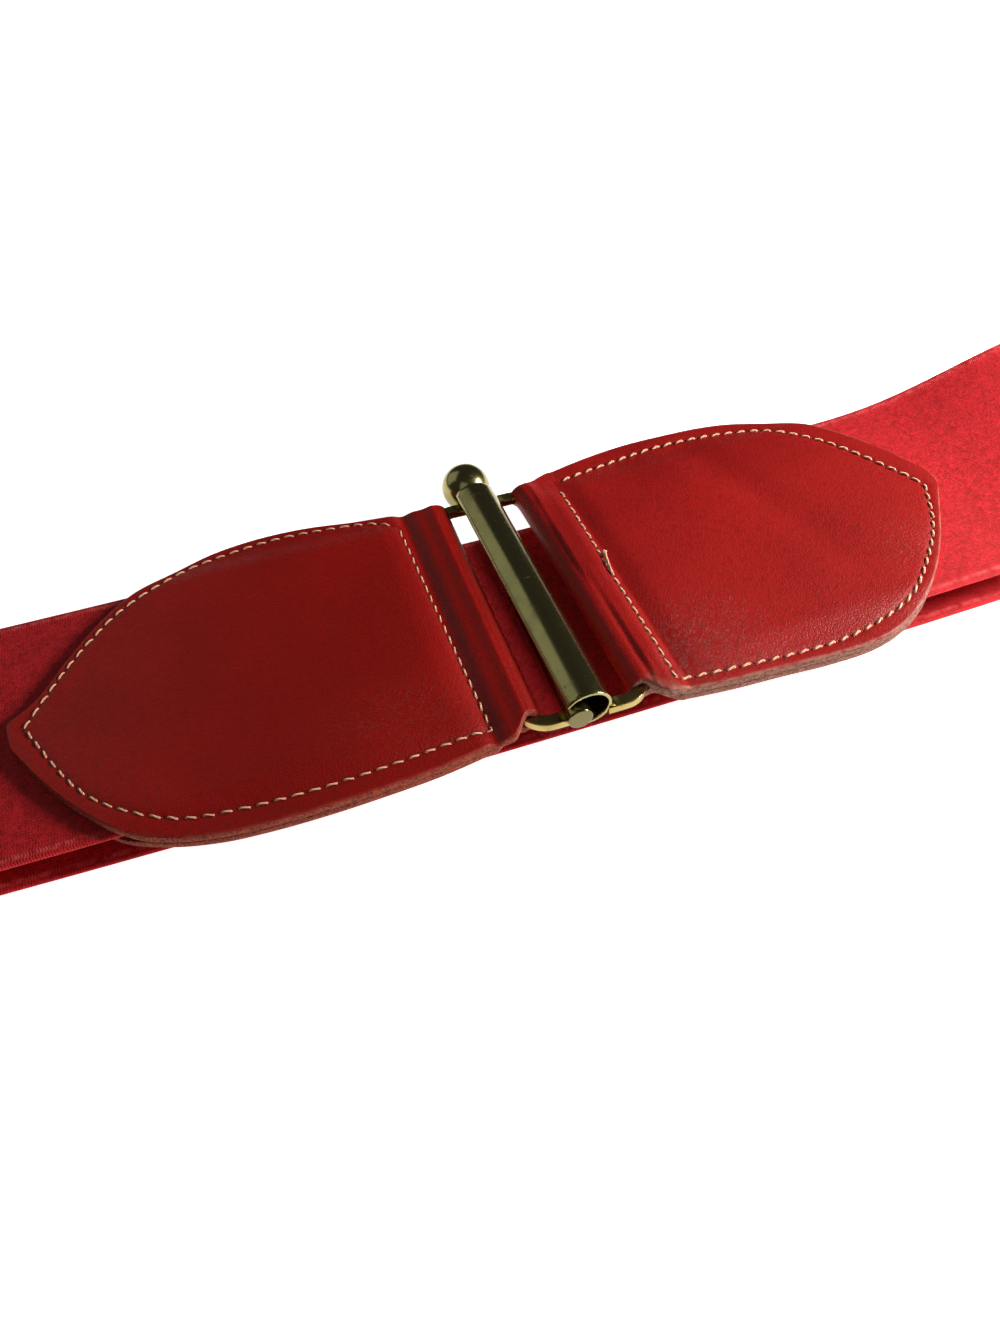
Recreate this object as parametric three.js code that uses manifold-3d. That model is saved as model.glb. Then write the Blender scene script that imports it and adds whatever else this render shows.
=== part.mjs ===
// A cinch belt: a wide elastic band with two pointed leather tabs and a pin-and-tube clasp,
// fastened and lying on its back run, so that the band is a flattened loop with a soft fold at each end.
// Millimetres. X runs along the belt, Y across the band away from the wearer's lower edge, Z up.
// Working places are measured from the tube's axis at X = 0 and from the band's middle line at Y = 0;
// at the end the whole belt moves so that the middle of its outer box is at X = 0, Y = 0, Z = 0.

import * as THREE from 'three';
import { mergeVertices } from 'three/addons/utils/BufferGeometryUtils.js';
import Module from 'manifold-3d';

const wasm = await Module();
wasm.setup();

// Fits
const clearance = 0.3;

// Elastic band
const bandWidth = 60;
const bandThickness = 1.3;
const bandEdgeBevel = 0.35;
const bandBow = 1.2;
const bowReach = 100;

// Folds, where the band turns from the front run to the back run
const leftFold = { reach: 178, length: 58, height: 16, twist: 0 };
const rightFold = { reach: 158, length: 62, height: 22, twist: 1.5 };

// Leather
const leatherThickness = 1.8;
const rollWall = 1.4;
const leftRollFlare = 0.2;
const rightRollFlare = 0.2;
const leftRollBend = 0;
const rightRollBend = 0.2;
const leftNeckPuff = 0;
const rightNeckPuff = 1.2;
const rollOverhang = 1.8;
const shoulderWidth = 2.6;
const edgeRounding = 0.22;
const seamToBand = 2.2;

// Tabs: where the inner seam and the pointed end lie, measured from the tube's axis
const leftTab = { seam: 19, tip: 103, halfWidth: 38 };
const rightTab = { seam: 19.9, tip: 99.7, halfWidth: 39.5 };

// Clasp
const claspHeight = 8.8;
const tubeWidth = 9.6;
const tubeHeight = 8.7;
const tubeWall = 0.7;
const tubeEndTrim = 0.45;
const tubeRise = 2;
const slotTopAngle = 27;
const slotBottomAngle = 75;
const slotInside = 0.5;
const slotOutside = 2.2;
const pinDiameter = 5;
const pinDrop = 0.7;
const pinShift = 1.25;
const pinEndReach = 1.3;
const ballDiameter = 11.2;
const frameWidth = 2.6;
const frameThickness = 2;
const frameCornerRadius = 4.5;
const frameBevel = 0.5;
const frameRoom = 2.4;
const leftBarReach = 10.8;
const rightBarReach = 12.7;
const leftYaw = 1.4;
const rightYaw = 0.2;

// Fineness of the faceted surfaces, and how much closer a tab's rings get towards its tip
const bandSteps = 140;
const tabBodySteps = 15;
const tipCrowding = 1.35;
const outlineSteps = 130;
const rollSteps = 7;
const rollStartAngle = 7;
const valleySteps = 4;
const cornerShares = [0.25, 0.5, 0.75];
const weldTolerance = 1e-4;
const tubeSides = 28;
const pinSides = 16;
const ballSides = 18;
const ballRings = 10;

// Colours
const bandColour = 0xc8102e;
const tabColour = 0x9c1414;
const brassColour = 0xb89b4a;

// Sizes worked out from the ones above
const bandHalf = bandWidth / 2;
const halfThickness = bandThickness / 2;
const frameInner = bandWidth + frameRoom;
const armCentre = (frameInner + frameWidth) / 2;
const tubeLength = frameInner + 2 * (frameWidth - tubeEndTrim);
const rollNear = frameInner / 2 - 2 * clearance;
const rollFar = frameInner / 2 + rollOverhang;
const rollInnerRadius = frameWidth / 2 + clearance;
const rollRadius = rollInnerRadius + rollWall;
const tubeAxisHeight = claspHeight + tubeRise;
const pinAxisHeight = tubeAxisHeight - pinDrop;
const coveredLevel = leatherThickness + halfThickness + clearance;

// The two halves of the clasp: the side that each one's bar lies on, the bar's reach from the tube's axis,
// how the half is turned in plan, how far it is moved along the belt, how its tab's roll widens at the far
// end and bends with the frame's corners, how its tab's front layer puffs up before the inner seam, and its
// tab's outline columns.
const pinSide = {
  side: -1,
  barReach: leftBarReach,
  yaw: leftYaw,
  shift: pinShift,
  flare: leftRollFlare,
  bend: leftRollBend,
  puff: leftNeckPuff,
  columns: ['leftFar', 'leftNear'],
};
const tubeSide = {
  side: 1,
  barReach: rightBarReach,
  yaw: rightYaw,
  shift: 0,
  flare: rightRollFlare,
  bend: rightRollBend,
  puff: rightNeckPuff,
  columns: ['rightFar', 'rightNear'],
};

// One fold seen from the side, from the front run round to the floor. Along is a share of the fold's
// length, rise a share of its height, and twist a share of the fold's lift of the far edge.
const foldRows = [
  { along: 0.0, rise: 0.46, twist: 0.4 },
  { along: 0.15, rise: 0.485, twist: 0.75 },
  { along: 0.3, rise: 0.56, twist: 1.0 },
  { along: 0.45, rise: 0.68, twist: 1.0 },
  { along: 0.6, rise: 0.82, twist: 0.8 },
  { along: 0.74, rise: 0.94, twist: 0.5 },
  { along: 0.85, rise: 1.0, twist: 0.3 },
  { along: 0.94, rise: 0.92, twist: 0.1 },
  { along: 0.99, rise: 0.72, twist: 0.0 },
  { along: 1.0, rise: 0.48, twist: 0.0 },
  { along: 0.97, rise: 0.24, twist: 0.0 },
  { along: 0.9, rise: 0.08, twist: 0.0 },
  { along: 0.8, rise: 0.01, twist: 0.0 },
  { along: 0.68, rise: 0.0, twist: 0.0 },
];

// Places along the front run where its height is set, and the share at which it has settled to its fold
const frontShares = [0, 0.25, 0.55, 0.8];
const frontSettling = 1.15;

// Outline of the tabs. Along goes from the inner seam to the tip; the others are shares of the tab's
// half width on the far and near side of the band's middle line.
const tabRows = [
  { along: 0.0, leftFar: 0.9, leftNear: 0.91, rightFar: 0.92, rightNear: 0.89 },
  { along: 0.12, leftFar: 0.93, leftNear: 0.95, rightFar: 0.97, rightNear: 0.915 },
  { along: 0.25, leftFar: 0.975, leftNear: 0.97, rightFar: 1.0, rightNear: 0.93 },
  { along: 0.38, leftFar: 0.98, leftNear: 0.98, rightFar: 0.995, rightNear: 0.95 },
  { along: 0.5, leftFar: 0.94, leftNear: 0.975, rightFar: 0.975, rightNear: 0.95 },
  { along: 0.6, leftFar: 0.855, leftNear: 0.955, rightFar: 0.93, rightNear: 0.905 },
  { along: 0.7, leftFar: 0.75, leftNear: 0.9, rightFar: 0.845, rightNear: 0.8 },
  { along: 0.79, leftFar: 0.575, leftNear: 0.8, rightFar: 0.74, rightNear: 0.645 },
  { along: 0.87, leftFar: 0.36, leftNear: 0.62, rightFar: 0.57, rightNear: 0.46 },
  { along: 0.94, leftFar: 0.14, leftNear: 0.4, rightFar: 0.355, rightNear: 0.26 },
  { along: 1.0, leftFar: 0.03, leftNear: 0.16, rightFar: 0.09, rightNear: 0.07 },
];

// Columns across a tab, as shares of its half width, closer together over the band's edge
const tabColumns = [0, 0.22, 0.44, 0.64, 0.77, 0.84, 0.9, 0.955, 1];

function smooth(from, to, value) {
  const t = THREE.MathUtils.clamp((value - from) / (to - from), 0, 1);
  return t * t * (3 - 2 * t);
}

// Turns rings with the same number of points into one closed surface, with a cap fanned out from the
// middle of the first and of the last ring.
function loft(rings) {
  const count = rings[0].length;
  const positions = [];
  const add = (a, b, c) => positions.push(...a, ...b, ...c);
  for (let i = 0; i < rings.length - 1; i++) {
    for (let j = 0; j < count; j++) {
      const k = (j + 1) % count;
      add(rings[i][j], rings[i][k], rings[i + 1][k]);
      add(rings[i][j], rings[i + 1][k], rings[i + 1][j]);
    }
  }
  const [first, last] = [rings[0], rings[rings.length - 1]];
  const [firstMiddle, lastMiddle] = [middleOf(first), middleOf(last)];
  for (let j = 0; j < count; j++) {
    const k = (j + 1) % count;
    add(firstMiddle, first[k], first[j]);
    add(lastMiddle, last[j], last[k]);
  }
  const geometry = new THREE.BufferGeometry();
  geometry.setAttribute('position', new THREE.Float32BufferAttribute(positions, 3));
  return outward(geometry);
}

function middleOf(ring) {
  return [0, 1, 2].map((axis) => ring.reduce((sum, point) => sum + point[axis], 0) / ring.length);
}

// Turns a closed surface right side out where its enclosed volume comes out negative.
function outward(geometry) {
  const p = geometry.getAttribute('position');
  const [a, b, c] = [new THREE.Vector3(), new THREE.Vector3(), new THREE.Vector3()];
  let volume = 0;
  for (let i = 0; i < p.count; i += 3) {
    a.fromBufferAttribute(p, i);
    b.fromBufferAttribute(p, i + 1);
    c.fromBufferAttribute(p, i + 2);
    volume += a.dot(b.cross(c)) / 6;
  }
  if (volume < 0) {
    for (let i = 0; i < p.count; i += 3) {
      a.fromBufferAttribute(p, i);
      b.fromBufferAttribute(p, i + 1);
      p.setXYZ(i, b.x, b.y, b.z);
      p.setXYZ(i + 1, a.x, a.y, a.z);
    }
  }
  return geometry;
}

// A closed geometry as a solid that can be joined and cut.
function solid(geometry) {
  const plain = geometry.index ? geometry.toNonIndexed() : geometry.clone();
  plain.deleteAttribute('normal');
  plain.deleteAttribute('uv');
  const merged = mergeVertices(plain, weldTolerance);
  return new wasm.Manifold(new wasm.Mesh({
    numProp: 3,
    vertProperties: merged.getAttribute('position').array,
    triVerts: new Uint32Array(merged.index.array),
  }));
}

// A joined and cut solid as a geometry again.
function geometryOf(manifold) {
  const mesh = manifold.getMesh();
  const geometry = new THREE.BufferGeometry();
  geometry.setAttribute('position', new THREE.BufferAttribute(new Float32Array(mesh.vertProperties), 3));
  geometry.setIndex(new THREE.BufferAttribute(new Uint32Array(mesh.triVerts), 1));
  geometry.computeVertexNormals();
  return geometry;
}

function named(name, geometry, colour, roughness, metalness) {
  const material = new THREE.MeshStandardMaterial({ color: colour, roughness, metalness });
  const mesh = new THREE.Mesh(geometry, material);
  mesh.name = name;
  return mesh;
}

// Height of the band's middle at the start of a fold, on the front run.
function frontLevel(fold) {
  return halfThickness + foldRows[0].rise * (fold.height - bandThickness);
}

// Points of one fold, from the front run to the floor: [x, height, lift of the far edge].
function foldPoints(fold, side) {
  const start = fold.reach - halfThickness - fold.length;
  return foldRows.map((row) => [
    side * (start + row.along * fold.length),
    halfThickness + row.rise * (fold.height - bandThickness),
    row.twist * fold.twist,
  ]);
}

// Points of the front run from a tab's inner end to its fold.
function frontPoints(tab, fold, side) {
  const inner = tab.seam + seamToBand;
  const start = fold.reach - halfThickness - fold.length;
  const drop = frontLevel(fold) - claspHeight;
  const lift = foldRows[0].twist * fold.twist;
  return frontShares.map((share) => [
    side * THREE.MathUtils.lerp(inner, start, share),
    claspHeight + drop * smooth(0, frontSettling, share),
    lift * share * share,
  ]);
}

// The band's middle line seen from the side, from the left tab round both folds to the right tab.
function bandCurve() {
  const left = [...frontPoints(leftTab, leftFold, -1), ...foldPoints(leftFold, -1)];
  const right = [...frontPoints(rightTab, rightFold, 1), ...foldPoints(rightFold, 1)].reverse();
  const floorStart = left[left.length - 1][0];
  const floorEnd = right[0][0];
  const floor = [0.25, 0.5, 0.75].map((share) => [
    THREE.MathUtils.lerp(floorStart, floorEnd, share),
    halfThickness,
    0,
  ]);
  const points = [...left, ...floor, ...right].map(([x, z, lift]) => new THREE.Vector3(x, lift, z));
  return new THREE.CatmullRomCurve3(points, false, 'centripetal');
}

// Stations along the band: where it is, which way is off its face, and how far its far edge is lifted.
function bandStations() {
  const curve = bandCurve();
  const stations = [];
  for (let i = 0; i <= bandSteps; i++) {
    const at = curve.getPointAt(i / bandSteps);
    const along = curve.getTangentAt(i / bandSteps);
    const length = Math.hypot(along.x, along.z);
    const z = Math.max(at.z, halfThickness);
    stations.push({ x: at.x, z, lift: at.y, off: [-along.z / length, along.x / length] });
  }
  return stations;
}

const stations = bandStations();

// Sideways place of the band's middle line, which bows away from the viewer towards both ends.
function bow(x) {
  return bandBow * (x / bowReach) ** 2;
}

// A ring round the band at one station, grown by a gap on every side.
function bandRing(station, gap) {
  const half = bandHalf + gap;
  const thick = halfThickness + gap;
  const corners = [
    [half, thick - bandEdgeBevel],
    [half - bandEdgeBevel, thick],
    [-half + bandEdgeBevel, thick],
    [-half, thick - bandEdgeBevel],
    [-half, -thick + bandEdgeBevel],
    [-half + bandEdgeBevel, -thick],
    [half - bandEdgeBevel, -thick],
    [half, -thick + bandEdgeBevel],
  ];
  return corners.map(([y, n]) => [
    station.x + station.off[0] * n,
    y + bow(station.x),
    station.z + station.off[1] * n + (station.lift * y) / bandHalf,
  ]);
}

function elasticBand() {
  return loft(stations.map((station) => bandRing(station, 0)));
}

// The stations of the front run on one side, from its inner end to just past the tab's tip.
function frontRun(tab, side) {
  const ordered = side < 0 ? stations : [...stations].reverse();
  const past = ordered.findIndex((station) => side * station.x > tab.tip);
  return ordered.slice(0, past + 2);
}

// Height of the middle of the front run under a point of a tab.
function frontHeight(tab, side, x, y) {
  const run = frontRun(tab, side);
  const reach = side * x;
  if (reach <= side * run[0].x) return claspHeight;
  const next = run.findIndex((station) => side * station.x >= reach);
  const [a, b] = [run[next - 1], run[next]];
  const t = (x - a.x) / (b.x - a.x);
  const lift = THREE.MathUtils.lerp(a.lift, b.lift, t);
  return THREE.MathUtils.lerp(a.z, b.z, t) + (lift * (y - bow(x))) / bandHalf;
}

// The space that the band takes inside a tab, with its clearance, open at the tab's tip.
function bandPocket(tab, side) {
  const run = frontRun(tab, side);
  const first = { ...run[0], x: run[0].x - side * clearance };
  return solid(loft([first, ...run.slice(1)].map((station) => bandRing(station, clearance))));
}

// How much wider than at its middle the roll is towards its far end.
function rollScale(half, y) {
  return 1 + (half.flare / rollRadius) * smooth(bandHalf / 2, rollFar, y);
}

// How far the roll's ends follow the frame's round corners towards the tube.
function rollBend(half, y) {
  const past = THREE.MathUtils.clamp(Math.abs(y) - armCentre + frameCornerRadius, 0, frameCornerRadius);
  return half.bend * (frameCornerRadius - Math.sqrt(frameCornerRadius ** 2 - past ** 2));
}

// Half height of a tab over its middle plane, the reach measured from the tube's axis.
function tabLevel(tab, half, reach, y) {
  const fromBar = reach - half.barReach;
  const roll = rollScale(half, y) * Math.sqrt(Math.max(rollRadius ** 2 - fromBar ** 2, 0));
  const inner = tab.seam + seamToBand;
  const covered = smooth(tab.seam, inner + clearance, reach);
  const shoulder = 1 - smooth(bandHalf + clearance, bandHalf + clearance + shoulderWidth, Math.abs(y));
  const flat = THREE.MathUtils.lerp(leatherThickness, coveredLevel, covered * shoulder);
  return fromBar <= 0 ? roll : Math.max(roll, flat);
}

// How far a tab's front layer puffs up between its roll and its inner seam.
function neckPuff(tab, half, reach) {
  const foot = half.barReach + rollRadius;
  const share = THREE.MathUtils.clamp((reach - foot) / (tab.seam - foot), 0, 1);
  return half.puff * Math.sin(Math.PI * share);
}

// Half widths of a tab, on the far and the near side, at a reach from the tube's axis.
function tabWidths(tab, half) {
  const [farColumn, nearColumn] = half.columns;
  const outline = (column) => new THREE.SplineCurve(tabRows.map((row) => new THREE.Vector2(
    THREE.MathUtils.lerp(tab.seam, tab.tip, row.along),
    tab.halfWidth * row[column],
  ))).getPoints(outlineSteps);
  const far = { points: outline(farColumn), roll: rollFar, from: half.barReach };
  const near = { points: outline(nearColumn), roll: rollNear, from: half.barReach + frameWidth / 2 };
  return (reach) => [far, near].map(({ points, roll, from }) => {
    if (reach <= tab.seam) return THREE.MathUtils.lerp(roll, points[0].y, smooth(from, tab.seam, reach));
    const next = Math.max(points.findIndex((p) => p.x >= reach), 1);
    const [a, b] = [points[next - 1], points[next]];
    return THREE.MathUtils.lerp(a.y, b.y, (reach - a.x) / (b.x - a.x));
  });
}

// Reaches at which a tab has a ring: round the roll, through the valley to the seam, then to the tip.
function tabReaches(tab, half) {
  const reaches = [];
  for (let i = 0; i < rollSteps; i++) {
    const angle = THREE.MathUtils.lerp(rollStartAngle, 90, i / (rollSteps - 1));
    reaches.push(half.barReach - rollRadius * Math.cos(THREE.MathUtils.degToRad(angle)));
  }
  const neckEnd = half.barReach + frameWidth / 2;
  const foot = half.barReach + Math.sqrt(rollRadius ** 2 - leatherThickness ** 2);
  const inner = tab.seam + seamToBand;
  reaches.push(neckEnd, (neckEnd + foot) / 2, foot);
  for (let i = 1; i <= valleySteps; i++) reaches.push(THREE.MathUtils.lerp(foot, tab.seam, i / valleySteps));
  reaches.push((tab.seam + inner) / 2, inner + clearance);
  for (let i = 1; i <= tabBodySteps; i++) {
    const share = 1 - (1 - i / tabBodySteps) ** tipCrowding;
    reaches.push(THREE.MathUtils.lerp(inner + clearance, tab.tip, share));
  }
  return reaches.sort((a, b) => a - b);
}

// One ring across a tab: over its top from the near edge to the far one and back underneath.
function tabRing(tab, half, widths, reach) {
  const [far, near] = widths(reach);
  const across = [
    ...tabColumns.slice(1).reverse().map((share) => -share * near),
    ...tabColumns.map((share) => share * far),
  ];
  const fromBar = reach - half.barReach;
  const onRoll = 1 - smooth(0, tab.seam - half.barReach, fromBar);
  const point = (y, face) => {
    const atEdge = y === far || y === -near;
    const puff = face > 0 ? neckPuff(tab, half, reach) : 0;
    const level = (tabLevel(tab, half, reach, y) + puff) * (atEdge ? 1 - edgeRounding : 1);
    const widened = fromBar < 0 ? half.barReach + fromBar * rollScale(half, y) : reach;
    const skew = y * Math.tan(THREE.MathUtils.degToRad(half.yaw));
    const x = half.side * (widened - skew - rollBend(half, y) * onRoll);
    const middle = frontHeight(tab, half.side, half.side * reach, y + bow(reach));
    return [x, y + bow(x), middle + face * level];
  };
  return [...across.map((y) => point(y, 1)), ...across.reverse().map((y) => point(y, -1))];
}

// A tab: leather folded round the clasp's bar, its two layers closed round the band's end.
function leatherTab(tab, half) {
  const widths = tabWidths(tab, half);
  const rings = tabReaches(tab, half).map((reach) => tabRing(tab, half, widths, reach));
  const barRoom = solid(clawFrame(half, 0, clearance));
  const body = solid(loft(rings)).subtract(bandPocket(tab, half.side)).subtract(barRoom);
  return geometryOf(body);
}

// Section of the frame's flat wire, with bevelled corners, grown by a gap on every side.
function frameSection(gap) {
  const [w, t, b] = [frameWidth / 2 + gap, frameThickness / 2 + gap, frameBevel];
  return [[t, w - b], [t - b, w], [-t + b, w], [-t, w - b], [-t, -w + b], [-t + b, -w], [t - b, -w], [t, -w + b]];
}

// The frame of one half of the clasp, from the inner end of one arm round the bar to the other arm.
function clawFrame(half, innerReach, gap) {
  const r = frameCornerRadius;
  const bar = half.barReach - half.shift;
  const at = (reach, y) => new THREE.Vector3(half.side * reach, y, 0);
  const path = new THREE.CurvePath();
  const corners = [1, -1].map((end) => [
    at(bar - r, end * armCentre),
    at(bar - r * (1 - Math.SQRT1_2), end * (armCentre - r * (1 - Math.SQRT1_2))),
    at(bar, end * (armCentre - r)),
  ]);
  const [far, near] = [corners[0], corners[1].reverse()];
  path.add(new THREE.LineCurve3(at(innerReach, armCentre), far[0]));
  path.add(cornerCurve(far));
  path.add(new THREE.LineCurve3(far[2], near[0]));
  path.add(cornerCurve(near));
  path.add(new THREE.LineCurve3(near[2], at(innerReach, -armCentre)));
  const geometry = framePipe(path, gap);
  geometry.rotateZ(THREE.MathUtils.degToRad(half.side * half.yaw));
  geometry.translate(half.side * half.shift, 0, claspHeight);
  return geometry;
}

// A quarter turn through three points, drawn so that its middle lies on the second one.
function cornerCurve([from, through, to]) {
  const control = through.clone().multiplyScalar(2).sub(from.clone().add(to).multiplyScalar(0.5));
  return new THREE.QuadraticBezierCurve3(from, control, to);
}

// Carries the frame's section along a flat path, with a ring at each end of a line and in each corner.
function framePipe(path, gap) {
  const rings = [];
  for (const curve of path.curves) {
    const shares = curve.isLineCurve3 ? [0, 1] : cornerShares;
    for (const share of shares) {
      const at = curve.getPoint(share);
      const along = curve.getTangent(share);
      rings.push(frameSection(gap).map(([z, off]) => [at.x - along.y * off, at.y + along.x * off, z]));
    }
  }
  return loft(rings);
}

// The pin half: a ball-headed pin with its frame, soldered into one piece.
function pinHalf() {
  const radius = pinDiameter / 2;
  const boreHalf = tubeHeight / 2 - tubeWall;
  const ballRadius = ballDiameter / 2;
  const ballReach = Math.sqrt((ballRadius + clearance) ** 2 - (boreHalf - pinDrop) ** 2);
  const ballPlace = tubeLength / 2 + ballReach;
  const endPlace = -tubeLength / 2 - pinEndReach;
  const pin = new THREE.CylinderGeometry(radius, radius, ballPlace - endPlace, pinSides);
  pin.translate(0, (ballPlace + endPlace) / 2, 0);
  const ball = new THREE.SphereGeometry(ballRadius, ballSides, ballRings);
  ball.translate(0, ballPlace, 0);
  for (const geometry of [pin, ball]) {
    geometry.rotateZ(THREE.MathUtils.degToRad(pinSide.side * pinSide.yaw));
    geometry.translate(pinSide.side * pinSide.shift, 0, pinAxisHeight);
  }
  const frame = clawFrame(pinSide, 0, 0);
  return geometryOf(solid(pin).add(solid(ball)).add(solid(frame)));
}

// An oval bar along Y round the tube's axis, for the tube's outside and for its bore.
function ovalBar(width, height, length) {
  const geometry = new THREE.CylinderGeometry(0.5, 0.5, length, tubeSides);
  geometry.scale(width, 1, height);
  return geometry;
}

// The wedge that opens the tube's wall towards the pin's frame, from inside the bore to outside the tube.
function slotWedge() {
  const top = THREE.MathUtils.degToRad(180 - slotTopAngle);
  const bottom = THREE.MathUtils.degToRad(180 + slotBottomAngle);
  const lip = (angle, far) => [
    (tubeWidth / 2) * Math.cos(angle) * far,
    (tubeHeight / 2) * Math.sin(angle) * far,
  ];
  const outline = [
    lip(top, slotInside),
    lip(top, slotOutside),
    [-tubeWidth, -tubeHeight],
    lip(bottom, slotOutside),
    lip(bottom, slotInside),
  ];
  const half = tubeLength / 2 + frameWidth;
  return loft([-half, half].map((y) => outline.map(([x, z]) => [x, y, z])));
}

// The tube half: a slotted tube with its frame, soldered into one piece.
function tubeHalf() {
  const bore = ovalBar(tubeWidth - 2 * tubeWall, tubeHeight - 2 * tubeWall, tubeLength + 4 * frameWidth);
  const outside = ovalBar(tubeWidth, tubeHeight, tubeLength);
  const slot = slotWedge();
  for (const geometry of [bore, outside, slot]) geometry.translate(0, 0, tubeAxisHeight);
  const joined = solid(outside).add(solid(clawFrame(tubeSide, tubeWidth / 4, 0)));
  return geometryOf(joined.subtract(solid(bore)).subtract(solid(slot)));
}

const belt = new THREE.Group();
belt.add(
  named('elastic_band', elasticBand(), bandColour, 0.9, 0),
  named('left_tab', leatherTab(leftTab, pinSide), tabColour, 0.45, 0),
  named('right_tab', leatherTab(rightTab, tubeSide), tabColour, 0.45, 0),
  named('pin_half', pinHalf(), brassColour, 0.25, 1),
  named('tube_half', tubeHalf(), brassColour, 0.25, 1),
);

const box = new THREE.Box3().setFromObject(belt);
const middle = box.getCenter(new THREE.Vector3());
belt.position.set(-middle.x, -middle.y, -box.min.z);

export default belt;
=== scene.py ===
"""Looks of a fastened cinch belt: knitted elastic, two stitched leather tabs and a brass pin-and-tube clasp.

Working sizes are in millimetres from the tube's axis (X = 0), the band's middle line (Y = 0) and the
floor (Z = 0), as in the CAD part. Each finished mesh is moved to the row frame and put in metres.
"""

import logging
import math
from dataclasses import dataclass, field
from enum import Enum
from typing import Any, Sequence

import bpy
import numpy as np
from mathutils import Matrix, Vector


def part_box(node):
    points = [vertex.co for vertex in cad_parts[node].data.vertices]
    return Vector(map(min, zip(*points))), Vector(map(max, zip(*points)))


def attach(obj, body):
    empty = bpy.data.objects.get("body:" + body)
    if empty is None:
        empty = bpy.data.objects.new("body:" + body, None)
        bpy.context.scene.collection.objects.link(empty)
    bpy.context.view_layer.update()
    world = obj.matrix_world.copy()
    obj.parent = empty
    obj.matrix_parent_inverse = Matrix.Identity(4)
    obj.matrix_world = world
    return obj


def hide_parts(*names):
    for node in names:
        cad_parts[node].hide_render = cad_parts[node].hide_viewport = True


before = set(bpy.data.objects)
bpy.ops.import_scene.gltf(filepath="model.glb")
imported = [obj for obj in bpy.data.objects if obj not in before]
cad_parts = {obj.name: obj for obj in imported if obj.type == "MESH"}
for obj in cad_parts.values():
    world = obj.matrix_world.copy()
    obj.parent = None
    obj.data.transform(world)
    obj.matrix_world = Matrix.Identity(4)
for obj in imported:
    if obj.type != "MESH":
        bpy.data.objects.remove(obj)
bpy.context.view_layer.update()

LOG = logging.getLogger("cinch_belt")
MM = 0.001
CLEARANCE = 0.3
BAND_HALF = 30.0
BAND_HALF_THICKNESS = 0.65
BOW = 1.2
BOW_REACH = 100.0
CLASP_HEIGHT = 8.8
FRAME_WIDTH = 2.6
FRAME_THICKNESS = 2.0
FRAME_INNER = 62.4
ARM_CENTRE = (FRAME_INNER + FRAME_WIDTH) / 2
CORNER_RADIUS = 4.5


class Side(Enum):
    """The side of the clasp that a piece lies on, as the sign of its X."""

    LEFT = -1
    RIGHT = 1


class Face(Enum):
    """The face of a tab, as the sign of its height over the tab's middle plane."""

    FRONT = 1
    BACK = -1


def smooth(start: float, end: float, value: np.ndarray) -> np.ndarray:
    """Rises from 0 at start to 1 at end: t squared times (3 - 2 t).

    Args:
        start: Where the rise begins.
        end: Where it ends.
        value: Places at which it is wanted.

    Returns:
        The risen share at each place.
    """
    share = np.clip((np.asarray(value, float) - start) / (end - start), 0.0, 1.0)
    return share * share * (3.0 - 2.0 * share)


def softer_max(a: np.ndarray, b: np.ndarray, blend: float) -> np.ndarray:
    """The larger of two heights, rounded where they cross: half of a + b + root((a - b)^2 + blend^2).

    Args:
        a: First height.
        b: Second height.
        blend: Width of the rounding.

    Returns:
        The rounded maximum.
    """
    return 0.5 * (a + b + np.sqrt((a - b) ** 2 + blend**2))


def bow(x: np.ndarray) -> np.ndarray:
    """Sideways place of the band's middle line, growing with the square of the reach."""
    return BOW * (np.asarray(x) / BOW_REACH) ** 2


def hashed(seed: int, *keys: np.ndarray) -> np.ndarray:
    """A repeatable number from -1 to 1 for each set of keys, from the fraction of a large sine.

    Args:
        seed: Changes the whole series.
        keys: Numbers that say which place in the series is wanted.

    Returns:
        One number for each place.
    """
    mixed = sum(np.asarray(key, float) * (12.9898 + 65.233 * k) for k, key in enumerate(keys))
    wave = np.sin(mixed + seed * 78.233) * 43758.5453
    return 2.0 * (wave - np.floor(wave)) - 1.0


def through(points: np.ndarray, steps: int) -> np.ndarray:
    """A smooth curve through points in a plane, each tangent half the way between a point's neighbours.

    Args:
        points: Array of points.
        steps: Points on the curve for each span.

    Returns:
        Array of points on the curve.
    """
    padded = np.concatenate([points[:1], points, points[-1:]])
    before, start, end, after = padded[:-3], padded[1:-2], padded[2:-1], padded[3:]
    leave, arrive = (end - before) / 2, (after - start) / 2
    t = np.linspace(0, 1, steps, endpoint=False)[None, :, None]
    cubic = (2 * start - 2 * end + leave + arrive)[:, None] * t**3
    square = (-3 * start + 3 * end - 2 * leave - arrive)[:, None] * t**2
    spans = cubic + square + leave[:, None] * t + start[:, None]
    return np.concatenate([spans.reshape(-1, points.shape[1]), points[-1:]])


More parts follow.
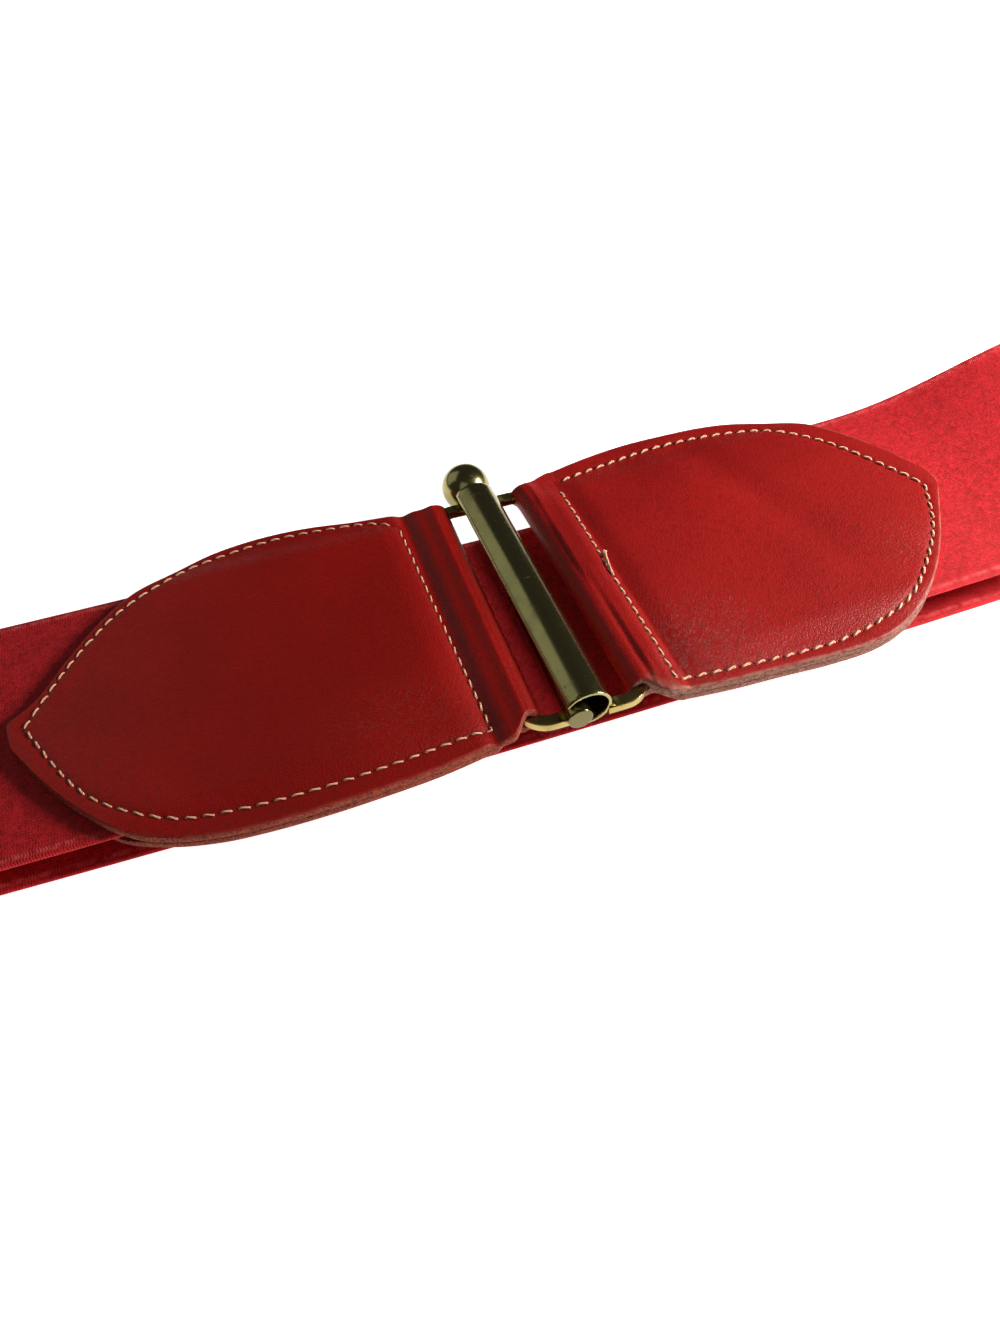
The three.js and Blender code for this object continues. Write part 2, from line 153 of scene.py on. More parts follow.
def distance_to(line: np.ndarray, points: np.ndarray) -> tuple[np.ndarray, np.ndarray, np.ndarray]:
    """Nearest place on a bent line for each point, each leg's foot kept between the leg's ends.

    Args:
        line: Corners of the line, in a plane.
        points: Points in the same plane.

    Returns:
        Distance, length along the line at the foot, and side (1 on the left of the line, -1 on its right).
    """
    start, leg = line[:-1], np.diff(line, axis=0)
    length = np.linalg.norm(leg, axis=1)
    before = np.concatenate([[0.0], np.cumsum(length)])[:-1]
    best = np.full(len(points), np.inf)
    along = np.zeros(len(points))
    hand = np.ones(len(points))
    for k in range(len(leg)):
        out = points - start[k]
        share = np.clip(out @ leg[k] / max(length[k] ** 2, 1e-12), 0.0, 1.0)
        off = out - share[:, None] * leg[k]
        away = np.hypot(off[:, 0], off[:, 1])
        nearer = away < best
        best = np.where(nearer, away, best)
        along = np.where(nearer, before[k] + share * length[k], along)
        turned = np.sign(leg[k, 0] * out[:, 1] - leg[k, 1] * out[:, 0])
        hand = np.where(nearer, np.where(turned == 0, 1.0, turned), hand)
    return best, along, hand


@dataclass
class Shape:
    """Points, faces and per-point values of a mesh that is being put together, in millimetres."""

    points: np.ndarray
    faces: list[tuple[int, ...]]
    values: dict[str, np.ndarray] = field(default_factory=dict)

    @classmethod
    def from_rings(cls, rings: np.ndarray, values: dict[str, np.ndarray] | None = None) -> "Shape":
        """Joins rings into a closed skin, each end closed by faces between the ring's two halves.

        Args:
            rings: Array of rings, points in a ring, coordinates.
            values: Values for each point, each an array of rings by points.

        Returns:
            The closed shape.
        """
        count, around = rings.shape[:2]
        index = np.arange(count * around).reshape(count, around)
        after = np.roll(index, -1, axis=1)
        sides = np.stack([index[:-1], after[:-1], after[1:], index[1:]], -1).reshape(-1, 4)
        half = around // 2
        first = np.stack([index[0, :half], index[0, ::-1][:half]], 1)
        last = np.stack([index[-1, :half], index[-1, ::-1][:half]], 1)
        start = np.stack([first[:-1, 0], first[:-1, 1], first[1:, 1], first[1:, 0]], 1)
        end = np.stack([last[:-1, 0], last[1:, 0], last[1:, 1], last[:-1, 1]], 1)
        faces = np.concatenate([sides, start, end]).tolist()
        flat = {name: value.reshape(-1) for name, value in (values or {}).items()}
        shape = cls(rings.reshape(-1, 3), faces, flat)
        return shape if shape.volume() > 0 else shape.turned()

    def volume(self) -> float:
        """Enclosed volume, the sum of the triple products of each face's fan, a sixth of each."""
        total = 0.0
        quads = np.array([f for f in self.faces if len(f) == 4])
        a, b, c, d = (self.points[quads[:, k]] for k in range(4))
        total += np.einsum("ij,ij->i", a, np.cross(b, c)).sum() + np.einsum("ij,ij->i", a, np.cross(c, d)).sum()
        return total / 6.0

    def turned(self) -> "Shape":
        """The same shape with its faces turned round."""
        return Shape(self.points, [tuple(reversed(f)) for f in self.faces], self.values)

    def joined(self, *others: "Shape") -> "Shape":
        """This shape and others as one, with the values that all of them have.

        Args:
            others: Shapes to add.

        Returns:
            One shape.
        """
        parts = [self, *others]
        starts = np.cumsum([0] + [len(p.points) for p in parts[:-1]])
        faces = [tuple(i + int(at) for i in f) for p, at in zip(parts, starts) for f in p.faces]
        names = set(self.values).intersection(*[set(p.values) for p in others])
        values = {name: np.concatenate([p.values[name] for p in parts]) for name in names}
        return Shape(np.concatenate([p.points for p in parts]), faces, values)


@dataclass(frozen=True)
class Fold:
    """One fold of the band: reach from the tube, length, height, and lift of its far edge."""

    reach: float
    length: float
    height: float
    lift: float

    ROWS = np.array(
        [
            (0.0, 0.46, 0.4),
            (0.15, 0.485, 0.75),
            (0.3, 0.56, 1.0),
            (0.45, 0.68, 1.0),
            (0.6, 0.82, 0.8),
            (0.74, 0.94, 0.5),
            (0.85, 1.0, 0.3),
            (0.94, 0.92, 0.1),
            (0.99, 0.72, 0.0),
            (1.0, 0.48, 0.0),
            (0.97, 0.24, 0.0),
            (0.9, 0.08, 0.0),
            (0.8, 0.01, 0.0),
            (0.68, 0.0, 0.0),
        ]
    )

    @property
    def start(self) -> float:
        """Reach at which the fold begins."""
        return self.reach - BAND_HALF_THICKNESS - self.length

    @property
    def front_level(self) -> float:
        """Height of the band's middle where the fold begins."""
        return BAND_HALF_THICKNESS + self.ROWS[0, 1] * (self.height - 2 * BAND_HALF_THICKNESS)

    def points(self, side: Side) -> np.ndarray:
        """Points of the fold from the front run to the floor: x, lift, height."""
        along, rise, lift = self.ROWS.T
        x = side.value * (self.start + along * self.length)
        return np.stack([x, lift * self.lift, BAND_HALF_THICKNESS + rise * (self.height - 2 * BAND_HALF_THICKNESS)], 1)


@dataclass(frozen=True)
class TabSizes:
    """Sizes of one tab and of the bar that it hangs on, in millimetres and degrees."""

    side: Side
    seam: float
    tip: float
    far: tuple[float, ...]
    near: tuple[float, ...]
    bar: float
    yaw: float
    flare: float
    bend: float
    puff: float
    stitch_radius: float
    stitch_slant: float
    loose_thread: tuple[tuple[float, float, float], ...]
    seam_line: tuple[tuple[float, float], ...]

    ALONG = (0.0, 0.12, 0.25, 0.38, 0.5, 0.6, 0.7, 0.79, 0.87, 0.94, 1.0)

    @property
    def skew(self) -> float:
        """How far the tab leans for each millimetre across the band."""
        return math.tan(math.radians(self.yaw))


LEFT_FOLD = Fold(reach=178, length=58, height=16, lift=0)
RIGHT_FOLD = Fold(reach=158, length=62, height=22, lift=1.5)
LEFT_TAB = TabSizes(
    side=Side.LEFT,
    seam=19.0,
    tip=103.0,
    far=tuple(38.0 * s for s in (0.9, 0.93, 0.975, 0.98, 0.94, 0.855, 0.75, 0.575, 0.36, 0.14, 0.03)),
    near=tuple(38.0 * s for s in (0.91, 0.95, 0.97, 0.98, 0.975, 0.955, 0.9, 0.8, 0.62, 0.4, 0.16)),
    bar=10.8,
    yaw=1.4,
    flare=0.2,
    bend=0.0,
    puff=0.0,
    stitch_radius=0.22,
    stitch_slant=0.045,
    loose_thread=(),
    seam_line=(
        (19.1, 29.9), (24.7, 33.1), (33.3, 34.7), (46.8, 35.5), (62.5, 33.3), (71.4, 29.3),
        (80.3, 23.9), (86.9, 17.4), (93.2, 9.6), (100.6, -1.5), (93.3, -17.5), (86.2, -25.7),
        (76.6, -31.1), (65.8, -32.8), (51.6, -33.3), (36.7, -32.7), (18.6, -31.1),
    ),
)
RIGHT_TAB = TabSizes(
    side=Side.RIGHT,
    seam=19.9,
    tip=99.7,
    far=tuple(39.5 * s for s in (0.92, 0.97, 1.0, 0.995, 0.975, 0.93, 0.845, 0.74, 0.57, 0.355, 0.09)),
    near=tuple(39.5 * s for s in (0.89, 0.915, 0.93, 0.95, 0.95, 0.905, 0.8, 0.645, 0.46, 0.26, 0.07)),
    bar=12.7,
    yaw=0.2,
    flare=0.2,
    bend=0.2,
    puff=1.5,
    stitch_radius=0.3,
    stitch_slant=0.09,
    loose_thread=((18.9, -2.1, 0.1), (18.9, -0.6, 0.5), (19.2, 1.4, 0.7), (19.7, 3.6, 0.75), (20.2, 5.8, 0.5)),
    seam_line=(
        (19.4, 32.0), (31.5, 33.9), (45.4, 35.5), (58.4, 34.8), (68.3, 32.6), (75.5, 28.8),
        (85.0, 19.6), (94.0, 4.3), (96.6, -2.2), (91.2, -12.7), (84.8, -20.4), (74.7, -29.3),
        (64.1, -33.2), (51.1, -34.9), (31.7, -33.7), (18.5, -32.4),
    ),
)


@dataclass
class BandPath:
    """The band's middle line seen from the side, from the left tab round both folds to the right tab."""

    seam_to_band: float = 2.2
    front_shares: tuple[float, ...] = (0.0, 0.25, 0.55, 0.8)
    settling: float = 1.15
    steps: int = 80

    def __post_init__(self) -> None:
        """Works out the curve: x, lift of the far edge and height at each point."""
        left = np.concatenate([self.front(LEFT_TAB, LEFT_FOLD), LEFT_FOLD.points(Side.LEFT)])
        right = np.concatenate([self.front(RIGHT_TAB, RIGHT_FOLD), RIGHT_FOLD.points(Side.RIGHT)])[::-1]
        share = np.array([0.25, 0.5, 0.75])
        floor_x = left[-1, 0] + (right[0, 0] - left[-1, 0]) * share
        floor = np.stack([floor_x, 0 * share, 0 * share + BAND_HALF_THICKNESS], 1)
        self.curve = self.centripetal(np.concatenate([left, floor, right]))

    def front(self, tab: TabSizes, fold: Fold) -> np.ndarray:
        """Points of the front run from a tab's inner end to its fold."""
        share = np.array(self.front_shares)
        inner = tab.seam + self.seam_to_band
        x = tab.side.value * (inner + (fold.start - inner) * share)
        drop = fold.front_level - CLASP_HEIGHT
        return np.stack([x, fold.ROWS[0, 2] * fold.lift * share**2, CLASP_HEIGHT + drop * smooth(0, self.settling, share)], 1)

    def centripetal(self, points: np.ndarray) -> np.ndarray:
        """A curve through points whose tangents weigh each span by the root of its length.

        Args:
            points: Points to pass.

        Returns:
            Points on the curve.
        """
        padded = np.concatenate([[2 * points[0] - points[1]], points, [2 * points[-1] - points[-2]]])
        p0, p1, p2, p3 = padded[:-3], padded[1:-2], padded[2:-1], padded[3:]
        d0, d1, d2 = (((b - a) ** 2).sum(1)[:, None] ** 0.25 for a, b in ((p0, p1), (p1, p2), (p2, p3)))
        leave = ((p1 - p0) / d0 - (p2 - p0) / (d0 + d1) + (p2 - p1) / d1) * d1
        arrive = ((p2 - p1) / d1 - (p3 - p1) / (d1 + d2) + (p3 - p2) / d2) * d1
        t = np.linspace(0, 1, self.steps, endpoint=False)[None, :, None]
        square = (-3 * p1 + 3 * p2 - 2 * leave - arrive)[:, None] * t**2
        cubic = (2 * p1 - 2 * p2 + leave + arrive)[:, None] * t**3
        spans = p1[:, None] + leave[:, None] * t + square + cubic
        return np.concatenate([spans.reshape(-1, 3), points[-1:]])

    def stations(self, count: int) -> tuple[np.ndarray, np.ndarray]:
        """Points at even steps along the curve, with the length up to each.

        Args:
            count: Number of points.

        Returns:
            The points, and the lengths.
        """
        step = np.hypot(np.diff(self.curve[:, 0]), np.diff(self.curve[:, 2]))
        length = np.concatenate([[0.0], np.cumsum(step)])
        at = np.linspace(0, length[-1], count)
        points = np.stack([np.interp(at, length, self.curve[:, k]) for k in range(3)], 1)
        points[:, 2] = np.maximum(points[:, 2], BAND_HALF_THICKNESS)
        return points, at

    def front_height(self, tab: TabSizes, reach: np.ndarray, y: np.ndarray) -> np.ndarray:
        """Height of the front run's middle at a reach from the tube and a place across the band.

        Args:
            tab: The tab whose side is meant.
            reach: Distance from the tube's axis along the belt.
            y: Distance from the band's middle line.

        Returns:
            The height at each place.
        """
        line = self.curve if tab.side is Side.LEFT else self.curve[::-1]
        out = tab.side.value * line[:, 0]
        end = int(np.argmax(out > tab.tip + 6.0))
        level = np.interp(reach, out[:end], line[:end, 2])
        lift = np.interp(reach, out[:end], line[:end, 1])
        return level + lift * y / BAND_HALF


@dataclass
class Placer:
    """Moves working sizes to the row frame and makes Blender objects of them."""

    path: BandPath

    def __post_init__(self) -> None:
        """Finds the shift from the CAD band's box and the same band's working sizes."""
        low, high = (np.array(corner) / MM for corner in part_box("elastic_band"))
        line = self.path.stations(4000)[0]
        slope = np.gradient(line[:, [0, 2]], axis=0)
        slope /= np.linalg.norm(slope, axis=1)[:, None]
        outer = [line[:, 0] + s * BAND_HALF_THICKNESS * slope[:, 1] for s in (-1, 1)]
        across = bow(line[:, 0])
        middle_x = (np.min(outer) + np.max(outer)) / 2
        middle_y = (across.min() + across.max()) / 2
        self.shift = np.array([(low[0] + high[0]) / 2 - middle_x, (low[1] + high[1]) / 2 - middle_y, 0.0])

    def place(self, points: np.ndarray) -> np.ndarray:
        """Working millimetres to metres in the row frame."""
        return (points + self.shift) * MM

    def piece(self, name: str, shape: Shape, material: bpy.types.Material, slot: str, *nodes: str) -> bpy.types.Object:
        """Makes an object of a shape, dresses it and ties it to the CAD.

        Args:
            name: Name of the object.
            shape: Its shape in working millimetres.
            material: Its finish.
            slot: The record's material slot; not used.
            nodes: CAD nodes that it stands for.

        Returns:
            The finished object.
        """
        mesh = bpy.data.meshes.new(name)
        mesh.from_pydata(self.place(shape.points).tolist(), [], shape.faces)
        for value_name, value in shape.values.items():
            attribute = mesh.attributes.new(value_name, "FLOAT", "POINT")
            attribute.data.foreach_set("value", value.astype(np.float32))
        mesh.polygons.foreach_set("use_smooth", np.ones(len(mesh.polygons), bool))
        mesh.materials.append(material)
        mesh.validate()
        mesh.update()
        obj = bpy.data.objects.new(name, mesh)
        bpy.context.scene.collection.objects.link(obj)
        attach(obj, "root")
        if nodes:
            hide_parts(*nodes)
        triangles = sum(len(f) - 2 for f in shape.faces)
        LOG.info("%s: %d triangles", name, triangles)
        return obj


class Value:
    """A number that a material works out, which takes part in ordinary arithmetic."""

    def __init__(self, graph: "Graph", socket: bpy.types.NodeSocket) -> None:
        """Keeps the socket that gives the number."""
        self.graph = graph
        self.socket = socket

    def _of(self, operation: str, *terms: "Value | float") -> "Value":
        """A Math node of that operation on the terms."""
        sockets = dict(enumerate(terms))
        return self.graph.value("ShaderNodeMath", {"operation": operation}, sockets)

    def __add__(self, other: "Value | float") -> "Value":
        """Sum."""
        return self._of("ADD", self, other)

    def __sub__(self, other: "Value | float") -> "Value":
        """Difference."""
        return self._of("SUBTRACT", self, other)

    def __rsub__(self, other: float) -> "Value":
        """Difference from a number."""
        return self._of("SUBTRACT", other, self)

    def __mul__(self, other: "Value | float") -> "Value":
        """Product."""
        return self._of("MULTIPLY", self, other)

    def __truediv__(self, other: "Value | float") -> "Value":
        """Quotient."""
        return self._of("DIVIDE", self, other)

    def __pow__(self, other: float) -> "Value":
        """Power."""
        return self._of("POWER", self, other)

    __radd__ = __add__
    __rmul__ = __mul__

    def function(self, operation: str, *others: "Value | float") -> "Value":
        """Another operation of the Math node, such as its sine."""
        return self._of(operation, self, *others)

    def between(self, low: float, high: float) -> "Value":
        """Rises smoothly from 0 at low to 1 at high."""
        settings = {"interpolation_type": "SMOOTHSTEP"}
        sockets = {"Value": self, "From Min": low, "From Max": high}
        return self.graph.value("ShaderNodeMapRange", settings, sockets)


class Graph:
    """A material's nodes, built by formula."""

    def __init__(self, name: str) -> None:
        """Makes a material with one surface shader and its output."""
        self.material = bpy.data.materials.new(name)
        self.material.use_nodes = True
        self.tree = self.material.node_tree
        self.tree.nodes.clear()
        self.output = self.tree.nodes.new("ShaderNodeOutputMaterial")

    def node(self, kind: str, settings: dict[str, Any], sockets: dict[Any, Any]) -> bpy.types.Node:
        """Adds a node.

        Args:
            kind: The node's type.
            settings: Its settings, set first; stops are a ramp's (place, colour) pairs.
            sockets: Values or links of its input sockets, by name or number.

        Returns:
            The node.
        """
        made = self.tree.nodes.new(kind)
        for name, value in settings.items():
            if name == "stops":
                elements = made.color_ramp.elements
                while len(elements) < len(value):
                    elements.new(0.5)
                for element, (place, colour) in zip(elements, value):
                    element.position = place
                    element.color = (*colour, 1.0)
            else:
                setattr(made, name, value)
        for key, value in sockets.items():
            self.feed(made.inputs[key], value)
        return made

    def feed(self, socket: bpy.types.NodeSocket, value: Any) -> None:
        """Links a worked-out value to a socket, or sets a plain one."""
        if isinstance(value, Value):
            self.tree.links.new(value.socket, socket)
        else:
            socket.default_value = value

    def value(self, kind: str, settings: dict[str, Any], sockets: dict[Any, Any], output: Any = 0) -> Value:
        """The output of a new node as a value."""
        return Value(self, self.node(kind, settings, sockets).outputs[output])

    def attribute(self, name: str) -> Value:
        """A per-point value of the mesh."""
        return self.value("ShaderNodeAttribute", {"attribute_name": name}, {}, "Fac")

    def stretched(self, scale: Sequence[float], turn: float = 0.0) -> Value:
        """Object coordinates, scaled for each axis and turned about Z."""
        where = self.value("ShaderNodeTexCoord", {}, {}, "Object")
        sockets = {"Vector": where, "Rotation": (0.0, 0.0, turn), "Scale": tuple(scale)}
        return self.value("ShaderNodeMapping", {}, sockets)

    def noise(self, where: Value, scale: float, detail: float = 2.0, roughness: float = 0.5) -> Value:
        """Soft noise from 0 to 1."""
        sockets = {"Vector": where, "Scale": scale, "Detail": detail, "Roughness": roughness}
        return self.value("ShaderNodeTexNoise", {}, sockets)

    def cells(self, where: Value, scale: float, feature: str = "DISTANCE_TO_EDGE") -> Value:
        """Distance in a pattern of cells."""
        return self.value("ShaderNodeTexVoronoi", {"feature": feature}, {"Vector": where, "Scale": scale}, "Distance")

    def mix(self, share: Value | float, low: Any, high: Any) -> Value:
        """A colour between two colours."""
        low, high = (c if isinstance(c, Value) else (*c, 1.0) for c in (low, high))
        return self.value("ShaderNodeMix", {"data_type": "RGBA"}, {0: share, 6: low, 7: high}, 2)

    def bump(self, height: Value, distance: float, strength: float = 1.0, normal: Value | None = None) -> Value:
        """A normal bent by a height, the height's full rise being the distance in metres."""
        sockets: dict[Any, Any] = {"Height": height, "Distance": distance, "Strength": strength}
        if normal is not None:
            sockets["Normal"] = normal
        return self.value("ShaderNodeBump", {}, sockets, "Normal")

    def finish(self, **sockets: Any) -> bpy.types.Material:
        """Closes the material with its surface shader.

        Args:
            sockets: Values or links of the shader's sockets, their names with underscores for spaces.

        Returns:
            The material.
        """
        named = {name.replace("_", " "): value for name, value in sockets.items()}
        shader = self.node("ShaderNodeBsdfPrincipled", {}, named)
        self.tree.links.new(shader.outputs[0], self.output.inputs[0])
        return self.material


@dataclass(frozen=True)
class LeatherFinish:
    """Smooth leather coloured with dye, with a fine grain, paler creases at the rubbed places that are partly a painted
    sheen, painted shade in the seam's groove and needle holes, a pale rim that is partly a painted highlight, and raw
    cut edges.
    """

    name: str
    deep: tuple[float, float, float]
    light: tuple[float, float, float]
    worn_and_sheen: tuple[float, float, float]
    raw: tuple[float, float, float]
    raw_dark: tuple[float, float, float]
    roughness: float
    pitch: float
    bare_rim_and_highlight_share: float

    def material(self) -> bpy.types.Material:
        """Builds the material from the tab's own values: cut, rim, wear, seam_run and seam_off."""
        g = Graph(self.name)
        plain = g.stretched((1, 1, 1))
        broad = g.noise(plain, 28.0, 3.0)
        grain = g.noise(plain, 2600.0, 3.0, 0.6)
        pores = g.cells(plain, 1500.0)
        spokes = g.value("ShaderNodeVectorMath", {"operation": "SCALE"}, {0: plain, "Scale": 140.0})
        spokes = g.value("ShaderNodeCombineXYZ", {}, {0: g.attribute("fan") * 26.0, 1: g.noise(spokes, 3.0) * 9.0})
        creases = g.noise(spokes, 1.8, 4.0, 0.7)
        wear = g.attribute("wear")
        mottle = g.noise(plain, 800.0, 3.0, 0.6)
        lines = creases.between(0.47, 0.64) * mottle.between(0.38, 0.6) * wear
        off, run = g.attribute("seam_off"), g.attribute("seam_run")
        beside = (run.function("FRACT") - 0.5) * self.pitch
        hole = 1 - (off * off + beside * beside).function("SQRT").between(0.1, 0.38)
        groove = 1 - off.function("ABSOLUTE").between(0.2, 0.9)
        cut = g.attribute("cut")
        fuzz = g.noise(plain, 1900.0, 4.0, 0.7)
        rim = g.attribute("rim") * g.noise(plain, 420.0, 3.0).between(0.3, 0.6)
        # The face's colour: the dye, into which painted shade, sheen and highlight are mixed below.
        dye_and_painted_light = g.mix(broad.between(0.3, 0.75), self.deep, self.light)
        dye_and_painted_light = g.mix(grain.between(0.35, 0.7) * 0.3, dye_and_painted_light, self.deep)
        dye_and_painted_light = g.mix(mottle.between(0.45, 0.75) * 0.4, dye_and_painted_light, tuple(0.6 * c for c in self.deep))
        # Paler creases where the leather is rubbed: partly real wear, partly a painted sheen on glossy creases.
        dye_and_painted_light = g.mix(lines * 0.4, dye_and_painted_light, self.worn_and_sheen)
        # Painted shade: the seam's groove is darkened, and the needle holes are painted almost black.
        dye_and_painted_light = g.mix(groove * 0.25, dye_and_painted_light, tuple(0.35 * c for c in self.deep))
        dye_and_painted_light = g.mix(hole * 0.45, dye_and_painted_light, (0.004, 0.001, 0.001))
        # A pale line along the rim: partly the bare cut edge, partly a painted highlight where the edge catches the
        # light; its share is smaller on the shaded left copy.
        dye_and_painted_light = g.mix(rim * self.bare_rim_and_highlight_share, dye_and_painted_light, self.raw)
        raw = g.mix(fuzz.between(0.35, 0.65), self.raw_dark, self.raw)
        colour = g.mix(cut, dye_and_painted_light, raw)
        relief = grain * 0.5 + mottle * 0.9 + pores.between(0.0, 0.25) * 0.35 - hole * 1.5 + lines * 1.2
        normal = g.bump(relief + fuzz * cut * 3.0, 0.0001, 0.9)
        rough = self.roughness + grain * 0.12 + lines * 0.1
        rough = rough * (1 - cut) + cut * 0.92
        return g.finish(Base_Color=colour, Roughness=rough, Normal=normal, Specular_IOR_Level=0.24)


@dataclass(frozen=True)
class ElasticFinish:
    """Knitted elastic: fine ribs along the band crossed by finer rows, a little shine on the crests, and pale fluff on
    the edge ribs that is partly a painted highlight.
    """

    name: str
    deep: tuple[float, float, float]
    light: tuple[float, float, float]
    fuzz: tuple[float, float, float]
    rib: float = 0.66
    row: float = 0.52

    def material(self) -> bpy.types.Material:
        """Builds the material from the band's own values: along and across, in millimetres."""
        g = Graph(self.name)
        along, across = g.attribute("along"), g.attribute("across")
        plain = g.stretched((1, 1, 1))
        stray = g.noise(plain, 1500.0, 4.0, 0.75)
        fluff = g.noise(plain, 520.0, 3.0, 0.7)
        broad = g.noise(plain, 60.0, 3.0)
        from_middle = across.function("ABSOLUTE")
        selvedge = from_middle.between(26.6, 27.6)
        crest_fluff_and_highlight = 1 - ((from_middle - 28.6).function("ABSOLUTE")).between(0.1, 0.9)
        wave = (across * (math.tau / self.rib) + stray * 5.0).function("SINE") * 0.5 + 0.5
        rows = along * (math.tau / self.row) + (across * (math.pi / self.rib)).function("SINE") * 1.2
        rows = (rows + stray * 3.5 * (1 - selvedge)).function("SINE") * 0.5 + 0.5
        knit = wave * 0.1 * (1 - selvedge) + rows * (0.1 + selvedge * 0.16) + stray * 0.85
        shade = (knit * 0.8 + fluff * 0.4).between(0.45, 0.77)
        colour = g.mix(shade, self.deep, self.light)
        colour = g.mix(broad.between(0.35, 0.7) * 0.3, colour, self.deep)
        # Pale fluff on the raised edge rib, partly a painted highlight where the rib catches the light.
        colour = g.mix(crest_fluff_and_highlight * fluff.between(0.3, 0.7) * 0.5, colour, self.fuzz)
        normal = g.bump(knit + fluff * 0.7, 0.00022, 1.0)
        return g.finish(
            Base_Color=colour,
            Roughness=0.62 + stray * 0.2,
            Normal=normal,
            Specular_IOR_Level=0.2,
            Sheen_Weight=0.08,
            Sheen_Roughness=0.4,
            Sheen_Tint=(1.0, 0.35, 0.35, 1.0),
        )


@dataclass(frozen=True)
class BrassFinish:
    """Polished brass with fine scratches, duller rubbed places and painted shade at the near side, which darkens the
    reflection at that end.
    """

    name: str
    colour: tuple[float, float, float]
    dull: tuple[float, float, float]
    roughness: float
    near_end_painted_shade: tuple[float, float] = (-0.0376, -0.0371)

    def material(self) -> bpy.types.Material:
        """Builds the material from Object coordinates."""
        g = Graph(self.name)
        plain = g.stretched((1, 1, 1))
        cloud = g.noise(plain, 160.0, 4.0, 0.6)
        scratch = g.noise(g.stretched((1.0, 0.06, 1.0), 0.4), 2400.0, 2.0)
        nick = g.noise(g.stretched((0.25, 1.0, 1.0), -0.5), 900.0, 3.0, 0.7).between(0.66, 0.72)
        colour = g.mix(cloud.between(0.4, 0.75) * 0.6, self.colour, self.dull)
        across = g.value("ShaderNodeSeparateXYZ", {}, {0: plain}, "Y")
        # Painted shade: the near end is darkened, standing for a dimmer reflection than the bright floor gives it.
        colour = g.mix((1 - across.between(*self.near_end_painted_shade)) * 0.8, colour, tuple(0.5 * c for c in self.dull))
        rough = self.roughness + cloud.between(0.45, 0.8) * 0.12 + nick * 0.25
        normal = g.bump(scratch * 0.5 + nick, 0.00001, 0.5)
        return g.finish(Base_Color=colour, Metallic=1.0, Roughness=rough, Normal=normal)


@dataclass(frozen=True)
class ThreadFinish:
    """Twisted sewing thread."""

    name: str
    colour: tuple[float, float, float]
    shade: tuple[float, float, float]

    def material(self) -> bpy.types.Material:
        """Builds the material from the thread's own value: twist."""
        g = Graph(self.name)
        twist = (g.attribute("twist") * math.tau).function("SINE") * 0.5 + 0.5
        fibre = g.noise(g.stretched((1, 1, 1)), 5200.0, 3.0, 0.7)
        colour = g.mix((twist * 0.6 + fibre * 0.4).between(0.2, 0.7), self.shade, self.colour)
        normal = g.bump(twist + fibre * 0.5, 0.00005, 0.8)
        return g.finish(Base_Color=colour, Roughness=0.8, Normal=normal)


@dataclass
class ElasticBand:
    """The knitted elastic band, from inside one tab round both folds to inside the other."""

    placer: Placer
    finish: ElasticFinish
    stations: int = 640
    columns: int = 56
    edge_radius: float = 0.6
    rib_place: float = 28.3
    rib_height: float = 0.16

    def section(self) -> tuple[np.ndarray, np.ndarray]:
        """Half of the band's section: places across, and half thickness with a raised rib beside each edge."""
        share = np.sin(np.linspace(-1, 1, self.columns) * math.pi / 2)
        y = share * BAND_HALF
        from_edge = BAND_HALF - np.abs(y)
        inset = np.clip(1 - from_edge / self.edge_radius, 0, 1)
        level = BAND_HALF_THICKNESS * np.sqrt(1 - 0.92 * inset**2)
        rib = np.exp(-(((np.abs(y) - self.rib_place) / 0.5) ** 2))
        valley = np.exp(-(((np.abs(y) - self.rib_place + 1.1) / 0.45) ** 2))
        return y, level + self.rib_height * (0.7 * rib - 0.8 * valley) - 0.08

    def build(self) -> bpy.types.Object:
        """Carries the section along the path, standing square to it.

        Returns:
            The band.
        """
        line, length = self.placer.path.stations(self.stations)
        slope = np.gradient(line[:, [0, 2]], axis=0)
        slope /= np.linalg.norm(slope, axis=1)[:, None]
        y, level = self.section()
        across = np.concatenate([y, y[::-1]])
        off = np.concatenate([level, -level[::-1]])
        x = line[:, 0, None] - slope[:, 1, None] * off
        z = line[:, 2, None] + slope[:, 0, None] * off + line[:, 1, None] * across / BAND_HALF
        rings = np.stack([x, across + bow(line[:, 0])[:, None], z], -1)
        rings[..., 2] = np.maximum(rings[..., 2], 0.0)
        values = {
            "along": np.broadcast_to(length[:, None], x.shape),
            "across": np.broadcast_to(across, x.shape),
        }
        shape = Shape.from_rings(rings, values)
        return self.placer.piece("elastic_knit", shape, self.finish.material(), "elastic", "elastic_band")


